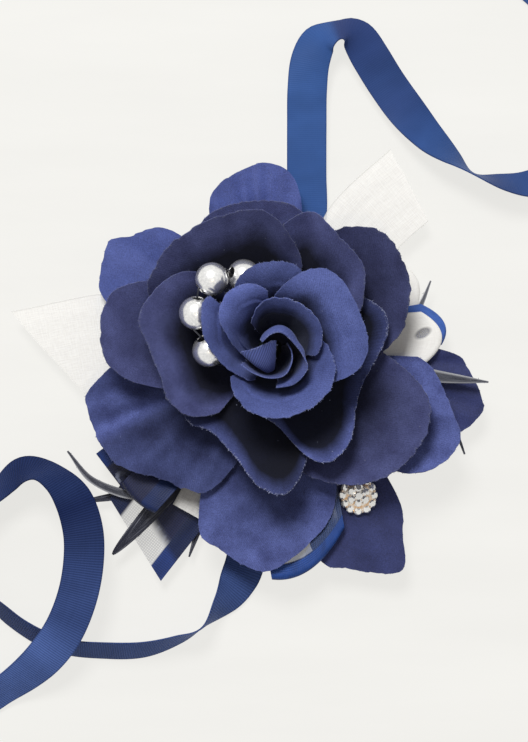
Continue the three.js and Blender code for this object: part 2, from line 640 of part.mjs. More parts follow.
const LEFT_TAIL = [
  [-1.65, -24.3, RIBBON_MIDDLE, 0], [-4.4, -40, RIBBON_MIDDLE, 0], [-7.1, -54.9, 2, 0],
  [-8.9, -59.1, 2.6, 20], [-12.4, -64.5, 4.6, 55], [-17.2, -69.9, 5.3, 84], [-23.2, -73.0, 5.1, 72],
  [-32.6, -75.8, 4.8, 60],
  [-43.4, -76.0, 4.7, 58], [-51.0, -75.3, 4.7, 58], [-57.3, -73.3, 4.7, 58], [-63.6, -69.7, 4.9, 60],
  [-68.6, -65.6, 5, 62], [-74.1, -59.3, 5.2, 75], [-76.1, -50.5, 5.4, 88], [-73.6, -40.9, 5.6, 75],
  [-68.5, -34.8, 6, 58], [-63.3, -30.5, 7.5, 50], [-57.5, -30.1, 9.5, 62], [-52.8, -32.7, 11.5, 50],
  [-49.2, -37.4, 12.5, 28], [-46.9, -44.8, 13, 12], [-46.7, -52.2, 13.2, 5], [-48.2, -60.9, 13, 0],
  [-51.7, -69.7, 12.2, 2], [-56.7, -76.7, 10.4, 15], [-62.8, -82.4, 7.4, 32], [-68.7, -86.4, 4.8, 40],
  [-75.1, -89.5, 2.8, 25], [-81.9, -90.5, 1.5, 8], [-89.1, -89.6, 0.6, 0],
];
const RIBBON_STEP = 3.4;

function ribbonSolid(route) {
  const middle = curveThrough(route);
  const roll = new THREE.SplineCurve(route.map(([, , , degrees], k) => new THREE.Vector2(k, degrees)));
  const steps = Math.max(2, Math.round(middle.getLength() / RIBBON_STEP));
  const rings = [];
  for (let k = 0; k <= steps; k += 1) {
    const u = middle.getUtoTmapping(k / steps);
    const along = middle.getTangent(u);
    const level = new THREE.Vector3(along.y, -along.x, 0).normalize();
    const up = level.clone().cross(along);
    const turn = radians(roll.getPoint(u).y);
    const wide = level.clone().multiplyScalar(Math.cos(turn)).addScaledVector(up, Math.sin(turn));
    const face = wide.clone().cross(along).multiplyScalar(RIBBON_THICKNESS / 2);
    wide.multiplyScalar(RIBBON_WIDTH / 2);
    const centre = middle.getPoint(u);
    rings.push([
      centre.clone().add(wide).add(face), centre.clone().sub(wide).add(face),
      centre.clone().sub(wide).sub(face), centre.clone().add(wide).sub(face),
    ]);
  }
  return loftSolid(rings);
}

const bandRoute = [[...RIBBON_LEFT_EXIT, RIBBON_MIDDLE, 0], [...RIBBON_RIGHT_EXIT, RIBBON_MIDDLE, 0]];
addPart(group, 'ribbon_band', ribbonSolid(bandRoute), RIBBON);
addPart(group, 'ribbon_tail_right', ribbonSolid(RIGHT_TAIL), RIBBON);
addPart(group, 'ribbon_tail_left', ribbonSolid(LEFT_TAIL), RIBBON);

export default group;
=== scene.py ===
"""Looks of a wrist corsage: a cloth rose with leaves, quills, organza bows, strung pearls and a
crystal cluster on a felt pad, tied on with a ribbon. Sizes are in millimetres until a mesh is made."""
import json
import math

import bpy
import numpy as np
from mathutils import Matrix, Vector


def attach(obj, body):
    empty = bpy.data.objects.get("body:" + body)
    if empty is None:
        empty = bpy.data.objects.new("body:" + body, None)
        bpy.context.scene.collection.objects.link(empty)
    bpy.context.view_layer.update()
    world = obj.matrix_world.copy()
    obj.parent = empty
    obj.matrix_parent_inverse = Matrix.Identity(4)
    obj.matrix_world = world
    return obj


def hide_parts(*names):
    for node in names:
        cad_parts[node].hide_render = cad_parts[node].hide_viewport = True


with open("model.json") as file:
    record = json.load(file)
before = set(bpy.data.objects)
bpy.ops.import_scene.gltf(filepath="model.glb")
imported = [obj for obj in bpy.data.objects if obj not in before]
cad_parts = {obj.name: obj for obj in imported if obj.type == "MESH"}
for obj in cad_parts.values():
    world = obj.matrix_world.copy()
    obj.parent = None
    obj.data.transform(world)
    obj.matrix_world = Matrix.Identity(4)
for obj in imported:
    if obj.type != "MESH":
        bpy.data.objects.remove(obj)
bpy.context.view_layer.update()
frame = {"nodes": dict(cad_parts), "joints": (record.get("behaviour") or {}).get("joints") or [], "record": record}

MM = 0.001
BODY = "corsage"

# Camera: straight down, as in the photograph
CAMERA_AT = (-2.04, -5.355, 460.0)
PIXEL = 0.255
IMAGE_HEIGHT = 742
SENSOR = 36.0

camera = bpy.data.objects.new("camera", bpy.data.cameras.new("camera"))
camera.data.sensor_width = SENSOR
camera.data.lens = SENSOR * CAMERA_AT[2] / (PIXEL * IMAGE_HEIGHT)
camera.data.clip_start = 0.01
camera.data.clip_end = 20
camera.location = [v * MM for v in CAMERA_AT]
bpy.context.scene.collection.objects.link(camera)
bpy.context.scene.camera = camera
bpy.context.scene.view_settings.view_transform = "Standard"


# Small mathematics
def mix(a, b, share):
    return a + (b - a) * share


def smooth(share):
    s = np.clip(share, 0, 1)
    return s * s * (3 - 2 * s)


def unit(v):
    return v / np.maximum(np.linalg.norm(v, axis=-1, keepdims=True), 1e-12)


def hermite(p1, p2, m1, m2, t):
    """Cubic from p1 to p2 with slopes m1 and m2."""
    return (2 * p1 - 2 * p2 + m1 + m2) * t ** 3 + (3 * p2 - 3 * p1 - 2 * m1 - m2) * t ** 2 + m1 * t + p1


def uniform_spline(values, places):
    """Catmull-Rom through evenly spaced rows of values, at places counted in rows."""
    values = np.asarray(values, float)
    last = len(values) - 1
    k = np.clip(np.floor(places).astype(int), 0, last - 1)
    t = (places - k).reshape(k.shape + (1,) * (values.ndim - 1))
    p0, p1 = values[np.maximum(k - 1, 0)], values[k]
    p2, p3 = values[k + 1], values[np.minimum(k + 2, last)]
    return hermite(p1, p2, (p2 - p0) / 2, (p3 - p1) / 2, t)


class Curve:
    """Centripetal Catmull-Rom curve, read by its length; extra columns follow a uniform spline."""

    def __init__(self, points, extra=None, fine=24):
        p = np.asarray(points, float)
        p = np.vstack([2 * p[0] - p[1], p, 2 * p[-1] - p[-2]])
        spots, steps = [], []
        for k in range(1, len(p) - 2):
            t = np.linspace(0, 1, fine, endpoint=False)[:, None]
            d0, d1, d2 = (max(np.linalg.norm(p[k + i] - p[k + i - 1]), 1e-9) ** 0.5 for i in range(3))
            x0, x1, x2, x3 = p[k - 1:k + 3]
            m1 = ((x1 - x0) / d0 - (x2 - x0) / (d0 + d1) + (x2 - x1) / d1) * d1
            m2 = ((x2 - x1) / d1 - (x3 - x1) / (d1 + d2) + (x3 - x2) / d2) * d1
            spots.append(hermite(x1, x2, m1, m2, t))
            steps.append(k - 1 + t[:, 0])
        self.points = np.vstack([*spots, p[-2:-1]])
        self.steps = np.append(np.concatenate(steps), len(p) - 3)
        gaps = np.linalg.norm(np.diff(self.points, axis=0), axis=1)
        self.at = np.append(0, np.cumsum(gaps))
        self.length = self.at[-1]
        self.tangents = unit(np.gradient(self.points, axis=0))
        self.extra = extra

    def read(self, table, share):
        where = np.clip(share, 0, 1) * self.length
        return np.stack([np.interp(where, self.at, column) for column in table.T], -1)

    def point(self, share):
        return self.read(self.points, share)

    def tangent(self, share):
        return unit(self.read(self.tangents, share))

    def extras(self, share):
        places = np.interp(np.clip(share, 0, 1) * self.length, self.at, self.steps)
        return uniform_spline(self.extra, places)


# Materials
class Graph:
    """A node tree that values and links are fed into."""

    def __init__(self, tree):
        self.tree = tree

    def feed(self, socket, value):
        if isinstance(value, bpy.types.NodeSocket):
            self.tree.links.new(value, socket)
        else:
            socket.default_value = value

    def node(self, kind, inputs, output=0, **settings):
        made = self.tree.nodes.new(kind)
        for key, value in settings.items():
            setattr(made, key, value)
        for key, value in inputs.items():
            self.feed(made.inputs[key], value)
        return made.outputs[output]

    def math(self, operation, a, b):
        return self.node("ShaderNodeMath", {0: a, 1: b}, operation=operation)

    def plus(self, a, b):
        return self.math("ADD", a, b)

    def times(self, a, b):
        return self.math("MULTIPLY", a, b)

    def most(self, a, b):
        return self.math("MAXIMUM", a, b)

    def seen(self):
        """1 for rays from the camera, off a mirror or through a sheer sheet."""
        paths = self.tree.nodes.new("ShaderNodeLightPath").outputs
        direct = self.most(paths["Is Camera Ray"], paths["Is Glossy Ray"])
        return self.most(direct, paths["Is Transmission Ray"])


# Radians that a wave texture runs through in a metre at scale 1
WAVE_RADIANS = 20


class Look(Graph):
    """A node material round one Principled shader."""

    def __init__(self, name, **sockets):
        self.material = bpy.data.materials.new(name)
        self.material.use_nodes = True
        super().__init__(self.material.node_tree)
        self.shader = self.tree.nodes["Principled BSDF"]
        for socket, value in sockets.items():
            self.put(socket.replace("_", " "), value)

    def put(self, socket, value):
        self.feed(self.shader.inputs[socket], value)

    def uv(self, turn=0.0, scale=(1, 1, 1)):
        flat = self.node("ShaderNodeTexCoord", {}, "UV")
        return self.node("ShaderNodeMapping", {"Vector": flat, "Rotation": (0, 0, turn), "Scale": scale})

    def place(self):
        return self.node("ShaderNodeTexCoord", {}, "Object")

    def bands(self, vector, pitch, direction, distortion):
        scale = 2 * math.pi / WAVE_RADIANS / (pitch * MM)
        inputs = {"Vector": vector, "Scale": scale, "Distortion": distortion, "Detail": 1.0,
                  "Detail Scale": 0.4}
        return self.node("ShaderNodeTexWave", inputs, "Fac", wave_type="BANDS", bands_direction=direction)

    def noise(self, vector, size, detail=3.0, rough=0.55):
        inputs = {"Vector": vector, "Scale": 1 / (size * MM), "Detail": detail, "Roughness": rough}
        return self.node("ShaderNodeTexNoise", inputs, "Fac")

    def attribute(self, name):
        return self.node("ShaderNodeAttribute", {}, "Fac", attribute_name=name)

    def span(self, value, low, high, to_low=0.0, to_high=1.0):
        inputs = {"Value": value, "From Min": low, "From Max": high, "To Min": to_low, "To Max": to_high}
        return self.node("ShaderNodeMapRange", inputs)

    def blend(self, share, a, b, kind="MIX"):
        return self.node("ShaderNodeMix", {0: share, 6: a, 7: b}, 2, data_type="RGBA", blend_type=kind)

    def tint(self, base, shade):
        """A colour made darker or lighter by a factor."""
        grey = self.node("ShaderNodeCombineColor", {0: shade, 1: shade, 2: shade})
        return self.blend(1.0, base, grey, "MULTIPLY")

    def bump(self, height, distance, strength):
        inputs = {"Height": height, "Strength": strength, "Distance": distance * MM}
        self.put("Normal", self.node("ShaderNodeBump", inputs))


def colour(r, g, b):
    """Linear colour of an 8-bit screen colour."""
    c = np.array([r, g, b]) / 255
    return (*np.where(c <= 0.04045, c / 12.92, ((c + 0.055) / 1.055) ** 2.4), 1.0)


# The edge attribute of loose fibres; on cloth it is the distance to the cut edge in mm
FIBRE_EDGE = -3.0


def cloth_look(name, deep, pale, edge, fringe, cup, twill=0.12, pitch=0.46, turn=0.7, sheen=0.15, gloss=0.2,
               rough=0.85):
    """Woven petal cloth: twill lines, mottled dyed colour, painted shade that deepens into the cup, painted light
    and shade set per petal, a worn edge, fibres and lint.
    """
    look = Look(name, Roughness=rough, Sheen_Weight=sheen, Sheen_Roughness=0.4, Specular_IOR_Level=gloss)
    look.put("Sheen Tint", (0.62, 0.68, 1.0, 1))
    edge = colour(*edge)
    edge_at = look.attribute("edge")
    lines = look.bands(look.uv(turn), pitch, "X", 0.6)
    fine = look.noise(look.place(), 0.3, 2.0)
    mottle = look.noise(look.place(), 6.0, 4.0)
    dyed = look.blend(look.span(mottle, 0.3, 0.7), colour(*deep), colour(*pale))
    grain = look.plus(look.times(lines, twill), look.times(fine, 1 - twill))
    # Painted shade: darker with distance from the rim into the cup, times each petal's painted light and shade
    # (tint)
    near, far, darkest = cup
    uneven = look.span(look.noise(look.place(), 9.0), 0.3, 0.7, -0.3 * near, 0.3 * near)
    inward = look.plus(look.attribute("deep"), uneven)
    depth = look.times(look.span(inward, near, far, 1.0, darkest), look.attribute("tint"))
    shade = look.times(look.span(grain, 0.3, 0.7, 0.7, 1.3), depth)
    woven = look.tint(dyed, shade)
    at_edge = look.span(edge_at, 0.2, 0.6, 1.0, 0.0)
    dots = look.times(look.span(look.noise(look.place(), 0.42), 0.52, 0.62), at_edge)
    broken = look.span(look.noise(look.place(), 3.5), 0.35, 0.65, 0.3 * fringe, 1.4 * fringe)
    worn = look.blend(look.times(dots, broken), woven, edge)
    hairy = look.blend(look.span(edge_at, FIBRE_EDGE, 0.0, 0.7, 0.0), worn, edge)
    specks = look.node("ShaderNodeTexVoronoi", {"Vector": look.place(), "Scale": 1 / (3.6 * MM)}, "Distance")
    look.put("Base Color", look.blend(look.span(specks, 0.03, 0.05, 0.5, 0.0), hairy, edge))
    look.bump(grain, 0.16, 0.6)
    return look.material


# Petal cloths: deep dye, pale dye, worn edge and its strength, where the painted cup shade starts and ends and how
# dark it gets, and what differs from plain petal cloth
BRIGHT = ((67, 77, 128), (82, 93, 149))
DULL = ((62, 66, 108), (82, 88, 136), (112, 116, 134), 0.45)
HEART_WEAVE = {"twill": 0.6, "pitch": 0.55, "turn": 0.35}
LEAF_WEAVE = {"pitch": 0.34, "gloss": 0.25, "rough": 0.65}
CLOTHS = {
    "heart": ((68, 78, 130), (80, 91, 148), (150, 157, 192), 0.5, (6.0, 12.0, 0.3), HEART_WEAVE),
    "bud": (*BRIGHT, (150, 157, 192), 0.3, (2.2, 6.5, 0.1), {}),
    "inner": (*BRIGHT, (140, 148, 186), 0.25, (6.5, 12.0, 0.12), {}),
    "flap": (*BRIGHT, (140, 148, 186), 0.25, (9.5, 15.0, 0.12), {}),
    "middle": (*DULL, (4.5, 12.0, 0.08), {}),
    "rim": ((62, 70, 118), (80, 90, 146), (160, 165, 190), 0.6, (1.0, 5.2, 0.07), {}),
    "lower": (*DULL, (4.0, 20.0, 0.25), {}),
    "outer": ((54, 61, 105), (80, 90, 144), (104, 112, 150), 0.25, (4.0, 28.0, 0.35), {"sheen": 0.2}),
    "leaf": ((58, 69, 124), (76, 89, 151), (92, 104, 158), 0.2, (8.0, 22.0, 0.5), LEAF_WEAVE),
    "dark_leaf": ((36, 42, 82), (50, 57, 104), (84, 94, 140), 0.2, (8.0, 26.0, 0.7), LEAF_WEAVE),
}
CLOTH = {kind: cloth_look(f"{kind}_cloth", *plain, **weave) for kind, (*plain, weave) in CLOTHS.items()}


def ribbon_look(name, bright, dull, pitch, relief, gloss):
    """Fine cross-ribbed satin ribbon; its tone attribute blends a bright and a dull colour, painted sheen and
    shade along its length.
    """
    look = Look(name, Roughness=0.5, Specular_IOR_Level=gloss)
    bright, dull = colour(*bright), colour(*dull)
    ribs = look.bands(look.uv(), pitch, "Y", 0.5)
    threads = look.noise(look.uv(scale=(1, 0.05, 1)), 0.5, 2.0)
    sweep = look.noise(look.uv(scale=(0.5, 1, 1)), 9.0, 2.0)
    level = look.plus(look.times(ribs, 0.6), look.times(threads, 0.4))
    ribbed = look.span(level, 0.2, 0.8, 1 - relief, 1 + relief)
    shade = look.times(ribbed, look.span(sweep, 0.3, 0.7, 0.88, 1.12))
    # Painted sheen and shade: the tone attribute picks between the bright and the dull colour
    woven = look.tint(look.blend(look.attribute("tone"), dull, bright), shade)
    worn = look.span(look.attribute("edge"), 0.15, 0.45, 0.35, 0.0)
    look.put("Base Color", look.blend(worn, woven, dull))
    look.bump(ribs, 0.4 * relief, 0.7)
    return look.material


# Bright and dull colours of each ribbon, for its painted sheen and shade
RIGHT_RIBBON = ribbon_look("right_ribbon", (52, 83, 139), (40, 54, 98), 0.5, 0.05, 0.06)
LEFT_RIBBON = ribbon_look("left_ribbon", (84, 108, 170), (15, 25, 60), 0.6, 0.2, 0.03)


def white_organza():
    """Sheer white weave of fine uneven threads, with a thin grey hem and a thinner window."""
    look = Look("white_organza", Roughness=0.6, Specular_IOR_Level=0.2)
    warp = look.noise(look.uv(scale=(1, 0.08, 1)), 0.26, 1.0)
    weft = look.noise(look.uv(scale=(0.08, 1, 1)), 0.26, 1.0)
    cover = look.times(look.plus(warp, weft), 0.5)
    cloud = look.noise(look.place(), 5.0, 2.0)
    hem = look.span(look.attribute("selvedge"), 0.1, 0.35, 0.8, 0.0)
    woven = look.plus(look.span(cover, 0.35, 0.65, 0.69, 0.82), look.span(cloud, 0.3, 0.7, -0.07, 0.07))
    woven = look.most(woven, look.attribute("dense"))
    sheer = look.times(woven, look.span(look.attribute("window"), 0.3, 0.7, 1.0, 0.3))
    look.put("Alpha", look.most(sheer, hem))
    cloth = look.blend(look.span(cover, 0.4, 0.6), colour(230, 228, 224), colour(237, 236, 232))
    look.put("Base Color", look.blend(hem, cloth, colour(206, 205, 200)))
    look.bump(cover, 0.05, 0.5)
    return look.material


# Width of the satin edges of navy organza
SATIN_EDGE = 4.4


def navy_organza(name, thread, satin_dye):
    """Sheer navy weave with satin edges; where the dense attribute is set it is denser and dark, standing in for a
    second layer and for painted shade, with painted glints; the satin has a painted sheen, dimmed by painted
    shade.
    """
    look = Look(name, Roughness=0.45, Specular_IOR_Level=0.2)
    warp = look.bands(look.uv(), 0.56, "X", 0.8)
    weft = look.bands(look.uv(), 0.56, "Y", 0.8)
    cover = look.most(warp, weft)
    cloud = look.noise(look.uv(scale=(1, 0.3, 1)), 3.0, 2.0)
    dense = look.attribute("dense")
    sheer = look.most(look.span(cover, 0.4, 0.95, 0.14, 0.36), dense)
    satin = look.span(look.attribute("selvedge"), SATIN_EDGE - 0.2, SATIN_EDGE + 0.2, 1.0, 0.0)
    look.put("Alpha", look.most(sheer, satin))
    woven = look.tint(colour(*thread), look.span(cover, 0.3, 1.0, 0.6, 1.3))
    # Painted glints: pale flecks mixed into the dense weave where the cloud noise is high
    gloss = look.times(look.span(cloud, 0.54, 0.66), look.span(dense, 0.98, 0.94, 0.0, 0.6))
    weave_with_painted_glints = look.blend(gloss, woven, colour(150, 158, 182))
    # Painted sheen on the satin, brighter and darker with the weft and the cloud noise, and dimmed by painted
    # shade where its attribute says
    painted_sheen = look.span(look.plus(look.times(weft, 0.4), cloud), 0.3, 1.1, 0.5, 1.4)
    painted_sheen_and_shade = look.times(painted_sheen, look.span(look.attribute("painted_satin_shade"), 0.2, 0.8, 1.0, 0.35))
    look.put("Base Color", look.blend(satin, weave_with_painted_glints, look.tint(colour(*satin_dye), painted_sheen_and_shade)))
    look.bump(cover, 0.06, 0.5)
    return look.material


WHITE_ORGANZA = white_organza()
NAVY_ORGANZA = navy_organza("navy_organza", (24, 29, 58), (30, 50, 104))
BLUE_ORGANZA = navy_organza("blue_organza", (64, 82, 126), (28, 62, 128))
# A brighter copy of the navy satin: painted light
LIT_NAVY_SATIN = navy_organza("lit_navy_satin", (24, 29, 56), (60, 94, 168))


def quill_look():
    """Dark vane with fine barbs and streaks; a pale quill is grey with painted highlights along its edges."""
    look = Look("quill", Roughness=0.5, Specular_IOR_Level=0.25)
    barbs = look.bands(look.uv(), 0.22, "X", 1.5)
    streaks = look.noise(look.uv(scale=(1, 0.04, 1)), 0.5, 3.0)
    pale = look.attribute("pale")
    vane = look.blend(pale, look.blend(barbs, colour(20, 22, 34), colour(40, 42, 58)),
                      look.blend(barbs, colour(84, 86, 94), colour(112, 114, 122)))
    streaked = look.blend(look.span(streaks, 0.5, 0.68, 0.0, 0.6), vane, colour(128, 130, 140))
    # Painted highlight: lighter edges, full on one side and weaker on the other, most on pale quills
    side = look.attribute("across")
    light = look.most(look.span(side, 0.5, 0.85), look.span(side, -0.55, -0.9, 0.0, 0.6))
    edges = look.times(light, look.span(pale, 0.1, 0.6))
    look.put("Base Color", look.blend(edges, streaked, colour(206, 207, 210)))
    look.bump(barbs, 0.08, 0.7)
    return look.material


QUILL = quill_look()


def speckled_look(name, dark, light, size, depth, detail=4.0, grit=0.55, strength=0.4, **sockets):
    """A plain material with fine unevenness in its colour and surface."""
    look = Look(name, **sockets)
    grain = look.noise(look.place(), size, detail, grit)
    look.put("Base Color", look.blend(look.span(grain, 0.3, 0.7), colour(*dark), colour(*light)))
    look.bump(grain, depth, strength)
    return look.material


FELT = speckled_look("felt", (26, 29, 58), (46, 50, 88), 0.5, 0.3, 6.0, 0.7, 0.8, Roughness=0.95,
                     Sheen_Weight=0.4, Specular_IOR_Level=0.1)
GLUE = speckled_look("glue", (206, 200, 182), (222, 218, 204), 2.0, 0.4, Roughness=0.35)
PLASTIC = speckled_look("receptacle_plastic", (30, 42, 36), (40, 54, 46), 1.0, 0.05, Roughness=0.55)
WIRE = speckled_look("wire", (78, 80, 88), (104, 106, 114), 0.4, 0.02, Roughness=0.35, Metallic=1.0)
PEARL = speckled_look("pearl", (226, 226, 228), (246, 246, 246), 0.6, 0.035, Roughness=0.24, Metallic=0.85,
                      Coat_Weight=0.25)
# Near-black lining of the bore: painted shade in the hole
PEARL_BORE_SHADE = speckled_look("pearl_bore_shade", (14, 14, 18), (26, 26, 32), 0.5, 0.03, Roughness=0.6)
SETTING = speckled_look("setting", (208, 156, 88), (238, 236, 232), 1.1, 0.02, Roughness=0.3, Metallic=0.7)
CRYSTAL = speckled_look("crystal", (244, 243, 240), (255, 255, 255), 0.9, 0.0, Roughness=0.08, Metallic=0.55,
                        Coat_Weight=1.0)


# Meshes
def make_object(name, points, faces, materials, smooth_angle=60.0, face_material=None):
    mesh = bpy.data.meshes.new(name)
    mesh.from_pydata((np.asarray(points) * MM).tolist(), [], [list(map(int, f)) for f in faces])
    mesh.validate()
    for material in materials:
        mesh.materials.append(material)
    if face_material is not None:
        mesh.polygons.foreach_set("material_index", np.asarray(face_material, np.int32))
    mesh.polygons.foreach_set("use_smooth", np.ones(len(mesh.polygons), bool))
    mesh.set_sharp_from_angle(angle=math.radians(smooth_angle))
    made = bpy.data.objects.new(name, mesh)
    bpy.context.scene.collection.objects.link(made)
    return made


def put_values(made, **columns):
    for name, values in columns.items():
        column = made.data.attributes.new(name, "FLOAT", "POINT")
        column.data.foreach_set("value", np.asarray(values, np.float32))


def put_uv(made, uv):
    layer = made.data.uv_layers.new(name="flat")
    corner = np.zeros(len(made.data.loops), np.int32)
    made.data.loops.foreach_get("vertex_index", corner)
    layer.data.foreach_set("uv", (np.asarray(uv)[corner] * MM).astype(np.float32).ravel())


def stands_for(made, node, body=BODY):
    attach(made, body)
    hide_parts(node)
    return made


def grid_normals(grid):
    return unit(np.cross(np.gradient(grid, axis=0), np.gradient(grid, axis=1)))


def grid_faces(rows, columns, start=0, flip=False):
    i, j = np.meshgrid(np.arange(rows - 1), np.arange(columns - 1), indexing="ij")
    p = (start + i * columns + j).ravel()
    quad = np.stack([p, p + columns, p + columns + 1, p + 1], 1)
    return quad[:, ::-1] if flip else quad


def rim_loop(rows, columns):
    """Indices round the border of a grid."""
    return np.concatenate([
        np.arange(rows - 1) * columns, (rows - 1) * columns + np.arange(columns - 1),
        np.arange(rows - 1, 0, -1) * columns + columns - 1, np.arange(columns - 1, 0, -1)])

# A way that no fibre takes, and the turns at which the corners of its foot lie
ASKEW = np.array([0.31, 0.52, 0.8])
FOOT_TURNS = (0, 2.094, 4.189)
# Fibres of a cut edge: width, least length and how far they stray from the way out
FIBRE_WIDTH = 0.08
FIBRE_LEAST = 0.12
FIBRE_STRAY = 0.55


def spikes(bases, ways, lengths, width, start):
    """Closed three-sided fibres standing on points."""
    side = unit(np.cross(ways, ASKEW))
    other = np.cross(ways, side)
    corners = [bases + width * (side * math.cos(t) + other * math.sin(t)) for t in FOOT_TURNS]
    points = np.stack([*corners, bases + ways * lengths[:, None]], 1)
    first = start + 4 * np.arange(len(bases))[:, None]
    order = np.array([[0, 2, 1], [0, 1, 3], [1, 2, 3], [2, 0, 3]])
    return points.reshape(-1, 3), (first[:, :, None] + order[None]).reshape(-1, 3)


def closed_sheet(name, grid, thickness, uv, columns, material, fray=None):
    """A sheet with two faces and a rim, and loose fibres along the edge where fray gives a random source,
    fibres per millimetre and their length."""
    rows, count = grid.shape[:2]
    middle = grid.reshape(-1, 3)
    lift = grid_normals(grid) * thickness / 2
    points = np.vstack([(grid + lift).reshape(-1, 3), (grid - lift).reshape(-1, 3)])
    under = rows * count
    loop = rim_loop(rows, count)
    after = np.roll(loop, -1)
    faces = [*grid_faces(rows, count), *grid_faces(rows, count, under, True),
             *np.stack([loop, loop + under, after + under, after], 1)[:, ::-1]]
    flat = np.vstack([uv.reshape(-1, 2)] * 2)
    values = {key: np.tile(np.broadcast_to(v, (rows, count)).ravel(), 2) for key, v in columns.items()}
    if fray:
        random, density, reach = fray
        edge = middle[loop]
        nearby = np.roll(edge, -1, 0)
        inside = np.clip(loop // count, 1, rows - 2) * count + np.clip(loop % count, 1, count - 2)
        gaps = np.linalg.norm(nearby - edge, axis=1)
        outer = loop % count > count // 3
        picks = np.repeat(np.arange(len(loop)), random.poisson(gaps * density * outer))
        share = random.random(len(picks))[:, None]
        bases = mix(edge[picks], nearby[picks], share)
        out = unit(edge - middle[inside])[picks]
        ways = unit(out + random.normal(0, FIBRE_STRAY, (len(picks), 3)))
        lengths = reach * random.random(len(picks)) ** 2 + FIBRE_LEAST
        more, tips = spikes(bases, ways, lengths, FIBRE_WIDTH, len(points))
        points = np.vstack([points, more])
        faces += list(tips)
        flat = np.vstack([flat, np.repeat(uv.reshape(-1, 2)[loop[picks]], 4, 0)])
        fibre = {"edge": FIBRE_EDGE, "tint": 1.0}
        values = {key: np.append(v, np.full(len(more), fibre.get(key, 0.0))) for key, v in values.items()}
    made = make_object(name, points, faces, [material])
    put_uv(made, flat)
    put_values(made, **values)
    return made


def run_along(grid, axis):
    """Length along a grid's rows or columns, from its first point."""
    gaps = np.linalg.norm(np.diff(grid, axis=axis), axis=2)
    start = np.zeros_like(np.take(gaps, [0], axis))
    return np.concatenate([start, np.cumsum(gaps, axis)], axis)


# The least width and the least share of width times length that a declared sheet has
SHEET_LEAST = 10.0


def declare_sheet(grid):
    """Works out a sheet's widest width, at least SHEET_LEAST, and its longest length; neither is kept."""
    width = max(SHEET_LEAST, run_along(grid, 0)[-1].max())
    length = run_along(grid, 1)[:, -1].max()


def organza(name, grid, uv, columns, material):
    """A sheer sheet of one layer, gathered at the hub."""
    rows, count = grid.shape[:2]
    made = make_object(f"{name}_organza", grid.reshape(-1, 3), grid_faces(rows, count), [material])
    put_uv(made, uv.reshape(-1, 2))
    put_values(made, **{key: np.broadcast_to(v, (rows, count)).ravel() for key, v in columns.items()})
    stands_for(made, name)
    declare_sheet(grid)


def seeded(name):
    """A random source of its own for each piece."""
    return np.random.default_rng(sum(map(ord, name)))


def around(radius, turn, height):
    """The place at a radius and a turn about Z."""
    return np.array([radius * math.cos(turn), radius * math.sin(turn), height])


# Tie ribbon: two free tails and the band between them, each with its roll in degrees
RIBBON_WIDTH = 10.0
RIBBON_THICKNESS = 0.3
RIBBON_MIDDLE = 1.7
RIBBON_STEP = 0.9
RIBBON_ACROSS = 15
RIBBON_CUP = 0.12
RIPPLE_DEPTH = 0.05
RIPPLES = (2.5, 4, 7)
RIGHT_TAIL = [
    (6.9, 24.3, RIBBON_MIDDLE, 0), (8.9, 34.5, RIBBON_MIDDLE, 0), (8.8, 44.5, 2.2, 0), (8.8, 56, 3, 0),
    (8.9, 66, 3.8, 0), (9.7, 73.2, 4.4, 8), (11.7, 77.9, 4.6, 24), (14.4, 80, 4.8, 46), (17.2, 80.9, 4.9, 52),
    (19.5, 80.7, 4.9, 40), (21.7, 79, 4.6, 22), (25, 73.9, 3.7, 9), (29, 67.6, 3, 7), (34.2, 60.4, 3, 12),
    (40.2, 53.4, 3.9, 32), (45.4, 48.7, 4.9, 57), (51, 44.3, 5.6, 80), (58.5, 42.3, 5.2, 62),
    (64.8, 41.9, 4.2, 43), (72.5, 44.1, 3, 25), (78.7, 50.2, 2, 12), (81.3, 59.7, 1.4, 4), (80.4, 71.2, 1, 0),
    (76.8, 81.2, 0.8, 0), (70.8, 89.5, 0.6, 0), (64, 95.6, 0.5, 0),
]
LEFT_TAIL = [
    (-1.65, -24.3, RIBBON_MIDDLE, 0), (-4.4, -40, RIBBON_MIDDLE, 0), (-7.1, -54.9, 2, 0),
    (-8.9, -59.1, 2.6, 20), (-12.4, -64.5, 4.6, 55), (-17.2, -69.9, 5.3, 84), (-23.2, -73.0, 5.1, 72),
    (-32.6, -75.8, 4.8, 60), (-43.4, -76.0, 4.7, 58), (-51.0, -75.3, 4.7, 58), (-57.3, -73.3, 4.7, 58),
    (-63.6, -69.7, 4.9, 60), (-68.6, -65.6, 5, 62), (-74.1, -59.3, 5.2, 75), (-76.1, -50.5, 5.4, 88),
    (-73.6, -40.9, 5.6, 75), (-68.5, -34.8, 6, 58), (-63.3, -30.5, 7.5, 50), (-57.5, -30.1, 9.5, 62),
    (-52.8, -32.7, 11.5, 50), (-49.2, -37.4, 12.5, 28), (-46.9, -44.8, 13, 12), (-46.7, -52.2, 13.2, 5),
    (-48.2, -60.9, 13, 0), (-51.7, -69.7, 12.2, 2), (-56.7, -76.7, 10.4, 15), (-62.8, -82.4, 7.4, 32),
    (-68.7, -86.4, 4.8, 40), (-75.1, -89.5, 2.8, 25), (-81.9, -90.5, 1.5, 8), (-89.1, -89.6, 0.6, 0),
]
BAND = [(-1.6, -24, RIBBON_MIDDLE, 0), (2.6, 0, RIBBON_MIDDLE, 0), (6.8, 24, RIBBON_MIDDLE, 0)]
